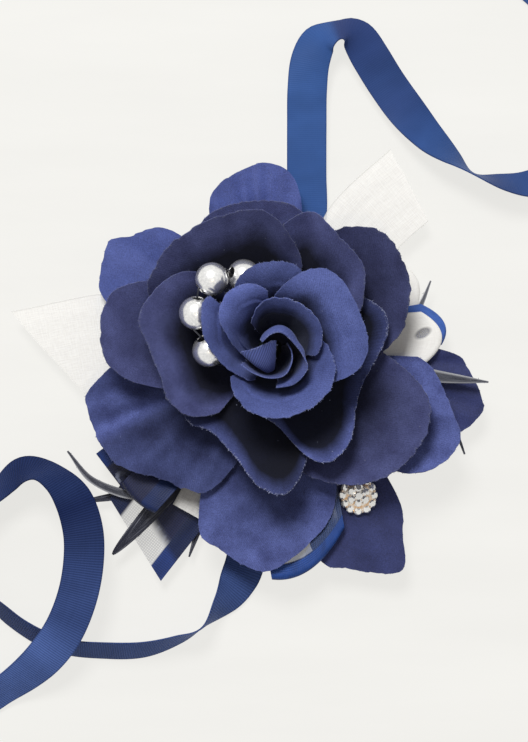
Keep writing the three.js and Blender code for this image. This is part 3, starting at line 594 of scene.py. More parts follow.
# Painted sheen and shade along each tail: where along its length it lies bright (1) or dull (0), and the crest
# where the right one turns dull
RIGHT_SHEEN_AND_SHADE = ((0, 0.24, 0.3, 0.31, 0.36, 0.4, 0.44, 0.5, 0.56, 0.6, 0.65, 1),
              (1, 0.95, 0.75, 0, 0.2, 0.35, 0.3, 0.65, 0.8, 0.3, 0.5, 0.6))
LEFT_SHEEN_AND_SHADE = ((0, 0.14, 0.18, 0.34, 0.42, 0.6, 0.66, 0.68, 0.72, 0.76, 0.8, 0.84, 1),
             (0.5, 0.5, 0.65, 0.5, 0.33, 0.08, 0.15, 0.06, 0.2, 0.33, 0.36, 0.85, 0.85))
BAND_SHEEN_AND_SHADE = ((0, 1), (1, 1))


def ribbon(name, route, tone, material, random):
    """A ribbon along a route, a little cupped, with a worn edge."""
    line = Curve([p[:3] for p in route], [p[3] for p in route])
    steps = round(line.length / RIBBON_STEP)
    share = np.linspace(0, 1, steps + 1)
    run = share * line.length
    along = line.tangent(share)
    level = unit(np.stack([along[:, 1], -along[:, 0], np.zeros(steps + 1)], 1))
    up = np.cross(level, along)
    roll = np.radians(line.extras(share))[:, None]
    wide = level * np.cos(roll) + up * np.sin(roll)
    face = np.cross(wide, along)
    a = np.linspace(-1, 1, RIBBON_ACROSS)[None, :]
    ripple = sum(random.normal(0, RIPPLE_DEPTH) * np.sin(run / w + random.random() * 6) for w in RIPPLES)
    cup = RIBBON_CUP * a ** 2 + ripple[:, None] * a ** 3
    grid = line.point(share)[:, None] + wide[:, None] * a[..., None] * RIBBON_WIDTH / 2
    grid = grid - face[:, None] * cup[:, :, None]
    uv = np.stack(np.broadcast_arrays(a * RIBBON_WIDTH / 2, run[:, None]), -1)
    columns = {"edge": (1 - np.abs(a)) * RIBBON_WIDTH / 2, "tone": np.interp(share, *tone)[:, None]}
    return closed_sheet(name, grid, RIBBON_THICKNESS, uv, columns, material), line


for side, route, tone, material in (("right", RIGHT_TAIL, RIGHT_SHEEN_AND_SHADE, RIGHT_RIBBON),
                                    ("left", LEFT_TAIL, LEFT_SHEEN_AND_SHADE, LEFT_RIBBON)):
    tail, line = ribbon(f"tie_ribbon_{side}", route, tone, material, np.random.default_rng(len(route)))
    stands_for(tail, f"ribbon_tail_{side}")
    path = line.point(np.linspace(0, 1, 120)) * MM
band, line = ribbon("tie_ribbon_band", BAND, BAND_SHEEN_AND_SHADE, RIGHT_RIBBON, np.random.default_rng(3))
stands_for(band, "ribbon_band")


# Layers of the rose: each petal lies on a numbered surface, counted from the bud outwards
FLOWER_BASE = 2.2
LAYER_PITCH = 0.7
LEAF_LAYER = 21
LAST_LAYER = 28
HUB_RADIUS = 9.5
TIP_RADIUS = 1.2
SHEET_SEAT = 0.5
SEAT_GAP = 0.3
RECEPTACLE_BASE = (LAST_LAYER - LEAF_LAYER) * LAYER_PITCH + SEAT_GAP
SLANT = LEAF_LAYER * LAYER_PITCH
CONE_RUN = HUB_RADIUS - TIP_RADIUS
CONE_RISE = math.sqrt(SLANT * SLANT - CONE_RUN * CONE_RUN)
# Layer, then radius and height of its shoulder, brim and tip
FLARE = np.array([
    (0, 0.9, 23, 1.8, 29.5, 4.6, 36.5), (1.2, 2.2, 23, 3.6, 32, 6.6, 38), (2.6, 4.2, 23, 6.2, 33, 9.4, 38.5),
    (4, 6.0, 22, 8.5, 35, 13.2, 37.5), (6, 8.0, 20, 11.5, 37, 19, 35.5), (8, 9.5, 18, 15, 38, 25, 32),
    (10.5, 18.5, 9.5, 23.5, 22.5, 36.5, 32.5), (14, 21, 7.5, 33, 14.5, 46, 24.5),
    (17, 22, 6.5, 38, 9, 59, 12.5), (21, 24, 5, 42, 6, 69, 6.5), (28, 24, 0.5, 42, 0.5, 72, 0.5),
])
# The farthest share of a profile that is looked at, and how often the search for a radius halves it
PROFILE_END = 1.15
HALVINGS = 30


def layer_root(layer):
    share = np.minimum(1, layer / LEAF_LAYER)
    below = np.maximum(0, layer - LEAF_LAYER) * LAYER_PITCH
    radius = TIP_RADIUS + CONE_RUN * share + SHEET_SEAT * CONE_RISE / SLANT
    return radius, RECEPTACLE_BASE + CONE_RISE * (1 - share) + SHEET_SEAT * CONE_RUN / SLANT - below


def layer_point(layer, t):
    """Radius and height of a layer at a share of its profile."""
    columns = (np.interp(layer, FLARE[:, 0], column) for column in FLARE.T[1:])
    shoulder_r, shoulder_z, brim_r, brim_z, tip_r, tip_z = columns
    root_r, root_z = layer_root(layer)
    u = 1 - t
    k0, k1, k2, k3 = u ** 3, 3 * u * u * t, 3 * u * t * t, t ** 3
    return (k0 * root_r + k1 * shoulder_r + k2 * brim_r + k3 * tip_r,
            k0 * root_z + k1 * shoulder_z + k2 * brim_z + k3 * tip_z)


def reach_of(layer, radius):
    """How far along its profile a layer reaches a radius."""
    layer, radius = np.broadcast_arrays(layer, radius)
    low, high = np.zeros(radius.shape), np.full(radius.shape, PROFILE_END)
    for _ in range(HALVINGS):
        t = (low + high) / 2
        short = layer_point(layer, t)[0] < radius
        low, high = np.where(short, t, low), np.where(short, high, t)
    return low


def layer_height(layer, radius):
    return layer_point(layer, reach_of(layer, radius))[1] + FLOWER_BASE


def on_layer(plan, layer, lift):
    """A plan set at the height of a layer, with a lift of its own."""
    height = layer_height(layer, np.hypot(plan[..., 0], plan[..., 1])) + lift
    return np.concatenate([plan, height[..., None]], -1)


# Bud petals lean over the heart: angle, root's layer, radius and height of the ridge, and the rim's x, y, z
BUD = {
    "bud_heart": [
        (190, 1.5, 7.2, 32.4, -7.3, -0.8, 34.2), (209, 1.3, 6.1, 32.2, -5.2, -0.4, 35),
        (236, 1, 5.5, 31.4, -2.6, 0.6, 35.2), (259, 0.7, 5.5, 30, -0.5, 1.6, 35.1),
        (276, 0.5, 4.6, 28.5, 0.8, 1.8, 34.6)],
    "bud_petal_inner": [
        (-155, 2.5, 7.3, 29.5, -7.5, -3.8, 32.6), (-128, 2.4, 6.9, 29.5, -4.6, -5.8, 33),
        (-97, 2.2, 6.6, 29, -0.9, -7, 33.2), (-65, 2, 6.2, 28.5, 2.7, -6.4, 33),
        (-38, 1.8, 5.5, 28, 4.4, -3.6, 32.4), (-12, 1.7, 4.8, 27.5, 4.5, -1, 32),
        (18, 1.6, 3.9, 27, 3.5, 1.1, 31.5)],
    "bud_petal_outer": [
        (-80, 3.3, 7.9, 28, 0.8, -9.3, 31.6), (-54, 3.2, 8.1, 29.4, 5.2, -8.3, 33.8),
        (-30, 3, 7.9, 31, 8.1, -4.7, 35.4), (-8, 2.8, 7.5, 32.8, 6.9, -1.4, 36.4),
        (16, 2.6, 6.1, 34, 4.9, 1.2, 37.1), (45, 2.4, 5.9, 34.6, 2.9, 3.1, 37.7),
        (72, 2.2, 5.6, 34.6, 1.2, 3.7, 37.8), (105, 2, 4.4, 33.8, -0.8, 3, 37.3),
        (140, 1.9, 3.6, 32.8, -2.5, 1.4, 36.7)],
}
# How far out and how far up the waist of a bud petal lies between its root and its ridge
WAIST = (0.62, 0.45)


def bud_grid(columns, count=96, rows=36):
    """Middle surface of a bud petal, from its root over its ridge to its rim."""
    table = uniform_spline(columns, np.linspace(0, 1, count) * (len(columns) - 1))
    turn, layer, ridge, ridge_height, rim = np.radians(table[:, 0]), *table.T[1:4], table[:, 4:]
    root, root_height = layer_root(layer)

    def spot(radius, height):
        return np.stack([radius * np.cos(turn), radius * np.sin(turn), height], -1)

    waist = spot(mix(root, ridge, WAIST[0]), mix(root_height, ridge_height, WAIST[1]))
    lines = np.stack([spot(root, root_height), waist, spot(ridge, ridge_height), rim])
    grid = uniform_spline(lines, np.linspace(0, 3, rows)).swapaxes(0, 1)
    return grid + np.array([0, 0, FLOWER_BASE])


# Petals: name, edges in degrees, layer at each edge and the rim's radius at even places across
INNER = [
    ("inner_petal_top", -10, 130, 4.8, 3.9, (11, 12.4, 12.2, 11.5, 8.5)),
    ("inner_petal_upper_left", 95, 192, 5.7, 4.9, (14.5, 16.8, 15.5, 10.5, 7.4)),
    ("inner_petal_right", -38, 88, 7.6, 5.4, (15, 22, 22, 22.4, 13.4)),
    ("inner_petal_bottom", 214, 372, 7.2, 5.8, (13, 16, 16.6, 16.2, 12.4)),
    ("inner_petal_left", 140, 240, 7.7, 5.8, (20.5, 17.2, 13.3, 10.6, 9.2)),
    ("inner_petal_back", 60, 126, 7.2, 7.1, (18, 20.4, 20.3, 19.4, 16.5)),
]
MIDDLE = [
    ("middle_petal_top_left", 70, 158, 10.2, 11.6, (23, 32.2, 34, 34.6, 34)),
    ("middle_petal_top_right", 22, 92, 10.3, 11.6, (23.5, 28.5, 31.3, 33.5, 28)),
    ("middle_petal_right", -100, 32, 10.3, 11.6, (17, 19.8, 29.8, 29, 24.6, 23.7, 26.3, 28.7, 26.5)),
    ("middle_petal_left", 130, 230, 10.2, 10.3, (24.5, 29.2, 31.4, 32.6, 29.2, 27.9, 27.8, 26.2, 21.5)),
    ("lower_petal_bottom", 212, 296, 11.5, 11.6, (27.5, 27, 25.2, 25.8, 28.6, 33.2, 35, 29.5, 22)),
    ("lower_petal_top_right", -8, 68, 12.7, 12.9, (25, 33, 37.4, 38, 31)),
    ("lower_petal_bottom_right", -80, 0, 13.9, 13.8, (31, 38, 42.5, 40.5, 28)),
    ("lower_petal_left", 148, 202, 13.4, 13.4, (34, 41, 41.5, 38.5, 28)),
    ("lower_petal_top", 64, 132, 14, 13.4, (30, 35.2, 36.3, 36.2, 32)),
]
OUTER = [
    ("outer_petal_left", 186, 254, 16.2, 15.6, (42.5, 47.2, 48, 48.3, 46.2, 42.1, 40.7, 38.7, 30)),
    ("outer_petal_bottom", 242, 296, 17.1, 16.9, (39.5, 49.1, 51.2, 53.8, 54.9, 51.6, 48, 44.2, 39)),
    ("outer_petal_right", -47, -3, 15.6, 15.6, (42, 46, 49.2, 51, 50.7, 46.9, 43.7, 41.1, 38.5)),
]
LEAVES = [
    ("leaf_top", 77.5, 116, 19.6, 19.6, (37, 42.9, 45.7, 46.7, 46.1, 45, 43.9, 41.7, 38)),
    ("leaf_upper_left", 127, 165, 19.6, 19.6, (36.2, 40.9, 43.4, 45.2, 48.9, 48.1, 47.1, 46, 44.4)),
    ("leaf_right", -26, 1.5, 21.4, 21.4, (50.6, 52.3, 53.9, 55.1, 53.4, 51.5, 49.3, 46.9, 41)),
    ("leaf_lower_right", -79, -46.5, 20.8, 20.8, (54, 56.4, 58.1, 60.5, 63.1, 63.5, 56.5, 51.1, 41.5)),
]
# Pleats: angle, rise, and how far they fade before and after that angle
PLEATS = {
    "outer_petal_left": [(206, 1.1, 4.5, 1.6), (219, 0.6, 2.5, 1.6), (231, 0.7, 2.4, 1.8)],
    "lower_petal_bottom_right": [(-58, 0.7, 2.5, 2.0), (-38, 0.5, 3.0, 2.0)],
    "lower_petal_bottom": [(244, 0.5, 2.5, 2.5)],
    "outer_petal_bottom": [(262, 0.4, 2.5, 3.5), (281, 0.5, 2.0, 3.0)],
}
# Painted light and shade: petals made lighter or darker than the rest of their row; a pair of tables says how that
# changes across
PAINTED_LIGHT_AND_SHADE = {
    "inner_petal_upper_left": 1.5, "inner_petal_left": 1.1, "inner_petal_back": 0.75,
    "middle_petal_top_left": 0.8, "middle_petal_right": ((0.3, 0.6), (1.0, 0.62)),
    "lower_petal_bottom": ((0.15, 0.35, 0.6, 0.85), (0.5, 0.8, 0.7, 0.35)),
    "lower_petal_bottom_right": 0.75, "lower_petal_top_right": 0.6,
    "outer_petal_right": 1.25, "outer_petal_bottom": 1.15,
    "outer_petal_left": ((0.05, 0.2, 0.28, 0.35), (0.9, 1.1, 1.4, 0.6)),
}
# Inner petals whose painted cup shade starts sooner or later than the rest
INNER_CUP_SHADE = {"inner_petal_top": "bud", "inner_petal_upper_left": "flap", "inner_petal_left": "flap"}
# Petals whose painted cup shade starts right by the rim, so a bright rim runs round a dark cup
SHADED_CUP_PETALS = ("middle_petal_right", "lower_petal_bottom")
CLOTH_THICKNESS = 0.26
# Grid of a petal: rows, width of a column, fewest and most columns, and how rows crowd towards the rim
PETAL_ROWS = 40
COLUMN_WIDTH = 0.8
PETAL_COLUMNS = (40, 140)
ROW_CROWD = 0.85
# Rim of a petal: length and depth of its waves, depth of its nicks and how much its corners are cut
RIM_WAVELENGTH = 9
RIM_WAVE = 0.1
RIM_NICK = 0.07
CORNER_CUT = 0.07
# The pressed ring: distance from the rim and width, then distance and width of the ridge outside it
RING_AT = 6.2
RING_WIDTH = 0.5
RIDGE_OUT = 1.1
RIDGE_WIDTH = 0.7
# Leaves: width of the midrib and height of the veins
MIDRIB_WIDTH = 1.6
VEIN_HEIGHT = 0.08


def waves(random, share, lengths, depth):
    """A smooth random line: one sine for each number of waves across."""
    def one(number):
        return depth * random.normal(0, 1) * np.sin(2 * math.pi * (number * share + random.random()))

    return sum(one(number) / len(lengths) ** 0.5 for number in lengths)


def petal_grid(row, ruffle, folds, ring, midrib, pleats, random):
    """Middle surface of a petal: rim waves, soft radial folds, a pressed ring inside the rim, pleats at given
    angles and a leaf's midrib."""
    _, start, end, layer_start, layer_end, rim = row
    rim_length = math.radians(end - start) * rim[len(rim) // 2]
    count = int(np.clip(rim_length / COLUMN_WIDTH, *PETAL_COLUMNS))
    share = np.linspace(0, 1, count)[:, None]
    s = np.linspace(0, 1, PETAL_ROWS)[None, :] ** ROW_CROWD
    wave = ruffle * s * s * np.sin(4 * math.pi * share + start)
    layer = mix(layer_start, layer_end, share) + wave
    edge = uniform_spline(rim, share * (len(rim) - 1))
    steps = rim_length / RIM_WAVELENGTH
    edge = edge + waves(random, share, (steps, steps * 1.6, steps * 3.1), RIM_WAVE)
    edge = edge + random.normal(0, RIM_NICK, share.shape)
    edge = edge * (1 - CORNER_CUT * np.abs(2 * share - 1) ** 12)
    radius, height = layer_point(layer, reach_of(layer, edge) * s)
    degrees = mix(start, end, share)
    turn = np.radians(degrees)
    grid = np.stack([radius * np.cos(turn), radius * np.sin(turn), height + FLOWER_BASE], -1)
    to_rim = run_along(grid[:, ::-1], 1)[:, ::-1]
    number, depth = folds
    lift = waves(random, share, (number * 0.6, number, number * 1.8), depth) * np.sin(math.pi * s * 0.62) ** 2
    crease = ring * (0.6 + 0.6 * np.sin(2 * math.pi * (1.2 * share + random.random())))
    lift = lift - crease * np.exp(-((to_rim - RING_AT) / RING_WIDTH) ** 2)
    lift = lift + 0.6 * crease * np.exp(-((to_rim - RING_AT + RIDGE_OUT) / RIDGE_WIDTH) ** 2)
    for at, rise, before, after in pleats:
        aside = np.radians(degrees - at) * radius
        lift = lift + rise * s * s * np.exp(-(aside / np.where(aside < 0, before, after)) ** 2)
    if midrib:
        lift = lift - midrib * np.exp(-((share - 0.5) * rim_length / MIDRIB_WIDTH) ** 2) * np.sin(math.pi * s)
        veins = np.sin((to_rim * 0.9 + np.abs(share - 0.5) * rim_length * 0.8) * 1.25)
        lift = lift + VEIN_HEIGHT * veins * np.sin(math.pi * s) * np.sin(math.pi * share)
    return grid + grid_normals(grid) * lift[..., None], to_rim


def petal(name, grid, to_rim, random, dye_and_shade, slot, fray=1.6, fibre=0.55):
    width = run_along(grid, 0)
    to_side = np.minimum(width, width[-1:] - width)
    uv = np.stack([width - width[-1:] / 2, run_along(grid, 1)], -1)
    # Painted light and shade of this petal, carried by its tint attribute; the cloth brings its dye and its
    # painted cup shade
    tint = PAINTED_LIGHT_AND_SHADE.get(name, 1.0)
    if isinstance(tint, tuple):
        tint = np.interp(np.linspace(0, 1, len(grid)), *tint)[:, None]
    columns = {"edge": np.minimum(to_rim, to_side + 0.3), "deep": to_rim, "tint": tint}
    loose = (random, fray, fibre)
    made = closed_sheet(f"{name}_cloth", grid, CLOTH_THICKNESS, uv, columns, CLOTH[dye_and_shade], loose)
    stands_for(made, name)
    declare_sheet(grid)


def flat_petal(row, dye_and_shade, slot, ruffle, folds, ring=0.0, midrib=0.0, **loose):
    random = seeded(row[0])
    grid, to_rim = petal_grid(row, ruffle, folds, ring, midrib, PLEATS.get(row[0], ()), random)
    petal(row[0], grid, to_rim, random, dye_and_shade, slot, **loose)


for name, columns in BUD.items():
    grid = bud_grid(columns)
    to_rim = run_along(grid[:, ::-1], 1)[:, ::-1]
    petal(name, grid, to_rim, seeded(name), "heart" if name == "bud_heart" else "bud", "petal_cloth_inner")
for row in INNER:
    flat_petal(row, INNER_CUP_SHADE.get(row[0], "inner"), "petal_cloth_inner", 0, (2.0, 0.1), ring=0.2)
for row in MIDDLE:
    dye_and_shade = "lower" if "lower" in row[0] else "middle"
    flat_petal(row, "rim" if row[0] in SHADED_CUP_PETALS else dye_and_shade, "petal_cloth_middle", 0.08, (2.4, 0.4), fray=1.8)
for row in OUTER:
    flat_petal(row, "outer", "petal_cloth_outer", 0.3, (3.6, 0.4), fray=1.0, fibre=0.4)
for row in LEAVES:
    dye_and_shade = "dark_leaf" if "right" in row[0] else "leaf"
    flat_petal(row, dye_and_shade, "leaf_cloth", 0.35, (2.6, 0.4), midrib=0.4, fray=0.6, fibre=0.3)


# Organza tails: angle at the hub, line, width, end slant and layer; the grid counts are across and along
GATHERED = 5.0
TAIL_GRID = (31, 61)
TAIL_CRIMP = 0.07
CRIMPS = (4, 7, 11)
WHITE_TAILS = [
    ("white_tail_left", 176, [(-34, 3), (-63.5, -2.2)], 24, -0.13, 24),
    ("white_tail_upper_right", 50, [(23.5, 31.2), (36.4, 43)], 20, 0.05, 24),
    ("white_tail_lower", 248, [(-16, -32), (-21, -41)], 9, 0, 22.4),
]
NAVY_TAILS = [("navy_tail_lower_left", 234, [(-20, -29), (-37.2, -51.4)], 23, 0.08, 26)]


def hub_point(degrees):
    return around(layer_root(LEAF_LAYER)[0], math.radians(degrees), 0)[:2]


def plan_place(line, share, offset):
    centre, along = line.point(share), line.tangent(share)
    return centre + np.stack([-along[..., 1], along[..., 0]], -1) * offset[..., None]


def crimp(random, a, s, depth):
    """Gathers that run along the sheet and fade towards its end."""
    folds = sum(depth * random.normal(0, 1) * np.sin(a * n + 6 * random.random()) for n in CRIMPS)
    return folds * (1.1 - s)


def tail(row, material, slot, dense):
    name, leaves, route, width, slant, layer = row
    random = seeded(name)
    line = Curve([hub_point(leaves), *route])
    a = np.linspace(-1, 1, TAIL_GRID[0])[:, None]
    s = np.linspace(0, 1, TAIL_GRID[1])[None, :]
    share = s * (1 - abs(slant) + slant * a)
    spread = mix(GATHERED, width, smooth(share * 1.6))
    plan = plan_place(line, share, a * spread / 2)
    grid = on_layer(plan, layer, crimp(random, a * 2, s, TAIL_CRIMP))
    uv = np.stack(np.broadcast_arrays(a * width / 2, share * line.length), -1)
    # Where the tail is denser and its satin dimmed: stands in for a second layer and for painted shade
    doubled_and_shaded = np.maximum(smooth((a + 0.12) / 0.2) * (1 - smooth((s - 0.84) / 0.08)), smooth((-0.5 - a) / 0.1))
    columns = {"selvedge": (1 - np.abs(a)) * width / 2, "dense": dense * doubled_and_shaded, "painted_satin_shade": doubled_and_shaded, "window": 0}
    organza(name, grid, uv, columns, material)


for row in WHITE_TAILS:
    tail(row, WHITE_ORGANZA, "white_organza", 0)
for row in NAVY_TAILS:
    tail(row, NAVY_ORGANZA, "navy_organza", 1)

# Organza loops: direction, reach, width, rounding and skew of the turn, lower and upper layer, how far the turn
# stands up, which edges are satin, how dense the rest is and how much painted shade dims the satin
WHITE_LOOPS = [
    ("white_loop_right", 4.5, 42.5, 13, 0.11, 0, 19.9, 18.8, 0.7, "both", 0.97, 0),
    ("white_loop_upper_right", 26, 40.8, 13, 0.08, 0, 27.2, 26, 0.8, "both", 0.97, 0),
]
NAVY_LOOPS = [
    ("navy_loop_lower_left", 217, 51, 11.5, 0, 0, 22.9, 21.7, 0.2, "first", 0.93, 0.2),
    ("navy_loop_front", 228, 50.8, 11, 0.02, 0, 20.4, 18.9, 3, "last", 1, 0.6),
    ("navy_loop_bottom", 280, 55.5, 20, 0.07, -0.085, 19.7, 18.5, 1, "turn", 0.5, 0),
    ("navy_loop_right", 9, 43.8, 11, 0.075, -0.04, 24.2, 22.9, 0.8, "all", 0, 0),
]
# The window left in a white loop: centre, half length, half width and lean
WINDOW_AT = (37.6, 4.1)
WINDOW = (2.2, 1.2)
WINDOW_LEAN = 0.5
# Loops that show their satin or their blue side
# Loops with cloths of their own: the all-satin loop takes a brighter copy of the navy satin, painted light, and
# the loop with a satin turn a bluer organza
LOOP_CLOTH = {"all": LIT_NAVY_SATIN, "turn": BLUE_ORGANZA}
# The turn of a loop: its share of the length and how far its nose reaches out; then the grid across and along
LOOP_BEND = 0.16
LOOP_NOSE = 1.5
LOOP_GRID = (31, 121)


def loop(row, material, slot):
    name, at, reach, width, rounding, skew, lower, upper, loft, satin, dense, painted_satin_shade = row
    out = around(1, math.radians(at), 0)[:2]
    side = np.array([-out[1], out[0]])
    root = layer_root(LEAF_LAYER)[0]
    a, s = np.meshgrid(np.linspace(-1, 1, LOOP_GRID[0]), np.linspace(0, 1, LOOP_GRID[1]), indexing="ij")
    turn = np.clip((s - 0.5 + LOOP_BEND / 2) / LOOP_BEND, 0, 1)
    leg = np.minimum(1, (1 - np.abs(2 * s - 1)) / (1 - LOOP_BEND))
    nose = reach * (1 - rounding * a * a + skew * a) - LOOP_NOSE
    distance = mix(root, nose, leg) + LOOP_NOSE * np.sin(math.pi * turn)
    spread = mix(GATHERED, width, smooth(leg * 1.5))
    plan = out * distance[..., None] + side * (a * spread / 2)[..., None]
    lift = loft * smooth(turn) * smooth((leg - 0.6) / 0.35)
    grid = on_layer(plan, mix(lower, upper, smooth(turn)), lift)
    uv = np.stack([a * width / 2, s * 2 * reach], -1)
    edges = {"first": (1 + a) * width / 2, "last": (1 - a) * width / 2, "both": (1 - np.abs(a)) * width / 2,
             "turn": (1 - leg) * (reach - root) + 2.0, "all": 0}
    aside = (grid[..., 0] - WINDOW_AT[0], grid[..., 1] - WINDOW_AT[1])
    lean = np.array([np.cos(WINDOW_LEAN), np.sin(WINDOW_LEAN)])
    far = np.hypot((aside[0] * lean[0] + aside[1] * lean[1]) / WINDOW[0],
                   (aside[1] * lean[0] - aside[0] * lean[1]) / WINDOW[1])
    columns = {"selvedge": edges[satin], "dense": dense, "painted_satin_shade": painted_satin_shade, "window": 1.5 - np.minimum(far, 1.5)}
    organza(name, grid, uv, columns, LOOP_CLOTH.get(satin, material))


for row in WHITE_LOOPS:
    loop(row, WHITE_ORGANZA, "white_organza")
for row in NAVY_LOOPS:
    loop(row, NAVY_ORGANZA, "navy_organza")

# Quills: angle at the hub, line, blade width, layer, how pale the vane is and how its point narrows
QUILLS = [
    ("quill_left_high", 214, [(-20, -29), (-32, -36.5), (-45, -33), (-51.5, -25.5)], 2.6, 24, 0.35, 0.8),
    ("quill_left_middle", 222, [(-22, -31), (-36, -36.2), (-48.6, -38.5)], 3, 27.3, 0.1, 0.7),
    ("quill_left_low", 228, [(-24, -33), (-31, -41.5), (-40.2, -51.6)], 5, 25, 0, 0.6),
    ("quill_left_inner", 244, [(-16, -38), (-21, -52.4)], 3, 27.3, 0, 1),
    ("quill_right_high", 17, [(25, 3), (34, 6), (37.4, 11.2), (40, 17.4)], 2.1, 25, 1.6, 1),
    ("quill_right_middle", -6, [(25, -4), (42, -6.8), (53.6, -8.1)], 3.6, 17.6, 0.35, 1),
    ("quill_right_low", -20, [(30, -11), (43.5, -17.5), (46.2, -22), (47.7, -26)], 1.6, 17.6, 0, 1),
]
VANE_GRID = (9, 90)
VANE_THICKNESS = 0.3
VANE_ARCH = 0.1
VANE_FRAY = (0.6, 0.3)
BARB_LEAN = 0.12
STEM_WIDTH = 1.0
POINT_WIDTH = 0.3
QUILL_TAPER = 0.5


def quill(row):
    name, leaves, route, width, layer, pale, blunt = row
    random = seeded(name)
    line = Curve([hub_point(leaves), *route])
    a = np.linspace(-1, 1, VANE_GRID[0])[:, None]
    s = np.linspace(0, 1, VANE_GRID[1])[None, :]
    blade = mix(STEM_WIDTH, width, smooth((s - 0.3) / 0.35))
    taper = np.maximum(0, (s - QUILL_TAPER) / (1 - QUILL_TAPER))
    half = mix(POINT_WIDTH, blade, (1 - taper * taper) ** blunt) / 2
    plan = plan_place(line, s, a * half)
    grid = on_layer(plan, layer, VANE_ARCH * (1 - a * a) * (1 - 0.5 * s))
    run = s * line.length
    uv = np.stack(np.broadcast_arrays(a * half + run * BARB_LEAN * np.sign(a), run), -1)
    columns = {"across": a, "pale": pale}
    made = closed_sheet(f"{name}_vane", grid, VANE_THICKNESS, uv, columns, QUILL, (random, *VANE_FRAY))
    stands_for(made, name)


for row in QUILLS:
    quill(row)


# Turned pieces
def turned(profile, sides, closed):
    """Points and faces of a profile turned about Z; closed joins its last point to its first."""
    profile = np.asarray(profile, float)
    turn = np.linspace(0, 2 * math.pi, sides, endpoint=False)
    points = np.stack([profile[:, None, 0] * np.cos(turn), profile[:, None, 0] * np.sin(turn),
                       np.broadcast_to(profile[:, None, 1], (len(profile), sides))], -1)
    rows = len(profile) if closed else len(profile) - 1
    faces = []
    for i in range(rows):
        for k in range(sides):
            j, n = (i + 1) % len(profile), (k + 1) % sides
            faces.append((i * sides + k, i * sides + n, j * sides + n, j * sides + k))
    return points.reshape(-1, 3), faces


# Pearls: radius, radius of the bore and of its mouth, points of the ball's half section and sides
PEARL_RADIUS = 4.0
BORE_RADIUS = 1.15
MOUTH_RADIUS = 1.5
BALL_POINTS = 30
PEARL_SIDES = 48
# The rows of faces that line the bore, after the ball and the upper mouth; they take the painted shade of the bore
BORE_ROWS = range(BALL_POINTS + 1, BALL_POINTS + 4)


def pearl_profile():
    """Half section of a pearl: the ball, the bore and its dished mouths."""
    start = math.asin(MOUTH_RADIUS / PEARL_RADIUS)
    turns = np.linspace(start, math.pi - start, BALL_POINTS)
    ball = [(PEARL_RADIUS * math.sin(t), -PEARL_RADIUS * math.cos(t)) for t in turns]
    rim = ball[-1][1]
    mouth_up = [(MOUTH_RADIUS * 0.93, rim + 0.06), (BORE_RADIUS * 1.15, rim - 0.2), (BORE_RADIUS, rim - 0.5)]
    mouth_down = [(r, -z) for r, z in reversed(mouth_up)]
    return [*ball, *mouth_up, *mouth_down]


def turn_to(axis):
    """Rotation matrix that takes +Z to an axis."""
    z = unit(np.asarray(axis, float))
    x = unit(np.cross([0.3, 0.9, 0.1], z))
    return np.stack([x, np.cross(z, x), z], 1)


for joint in frame["joints"]:
    node = frame["record"]["behaviour"]["bodies"][joint["child"]][0]
    profile = pearl_profile()
    points, faces = turned(profile, PEARL_SIDES, True)
    bore_shade = [int(f[0] // PEARL_SIDES in BORE_ROWS) for f in faces]
    points = points @ turn_to(joint["axis"]).T + np.array(joint["pos_m"]) / MM
    made = make_object(f"{node}_bead", points, faces, [PEARL, PEARL_BORE_SHADE], 40, bore_shade)
    stands_for(made, node, joint["child"])

# Crystal cluster: a cup with rings of cut stones and small claws between them
CLUSTER_AT = {"degrees": -59.4, "radius": 42.2, "layer": 20.8}
CLUSTER_DIAMETER = 10.2
CLUSTER_BASE = 1.6
CLUSTER_DOME = 1.4
CRYSTAL_RINGS = (1, 6, 12)
CUP_SIDES = 48
# A cut stone: its radius and sides, and half sections of a stone of radius 1 and of a claw in millimetres
STONE = 1.1
STONE_SIDES = 8
CLAW_SIDES = 10
STONE_SECTION = np.array([(0.001, -0.62), (1.0, -0.06), (1.0, 0.05), (0.62, 0.38), (0.001, 0.4)])
CLAW_SECTION = np.array([(0.001, -0.5), (0.2, -0.3), (0.22, 0.2), (0.14, 0.36), (0.001, 0.42)])
CLAW_LIFT = 0.15
# How upright the stones stand and how far they lean at random
STONE_UPRIGHT = 7.0
STONE_LEAN = 0.9
CLUSTER_LIFT = 0.5


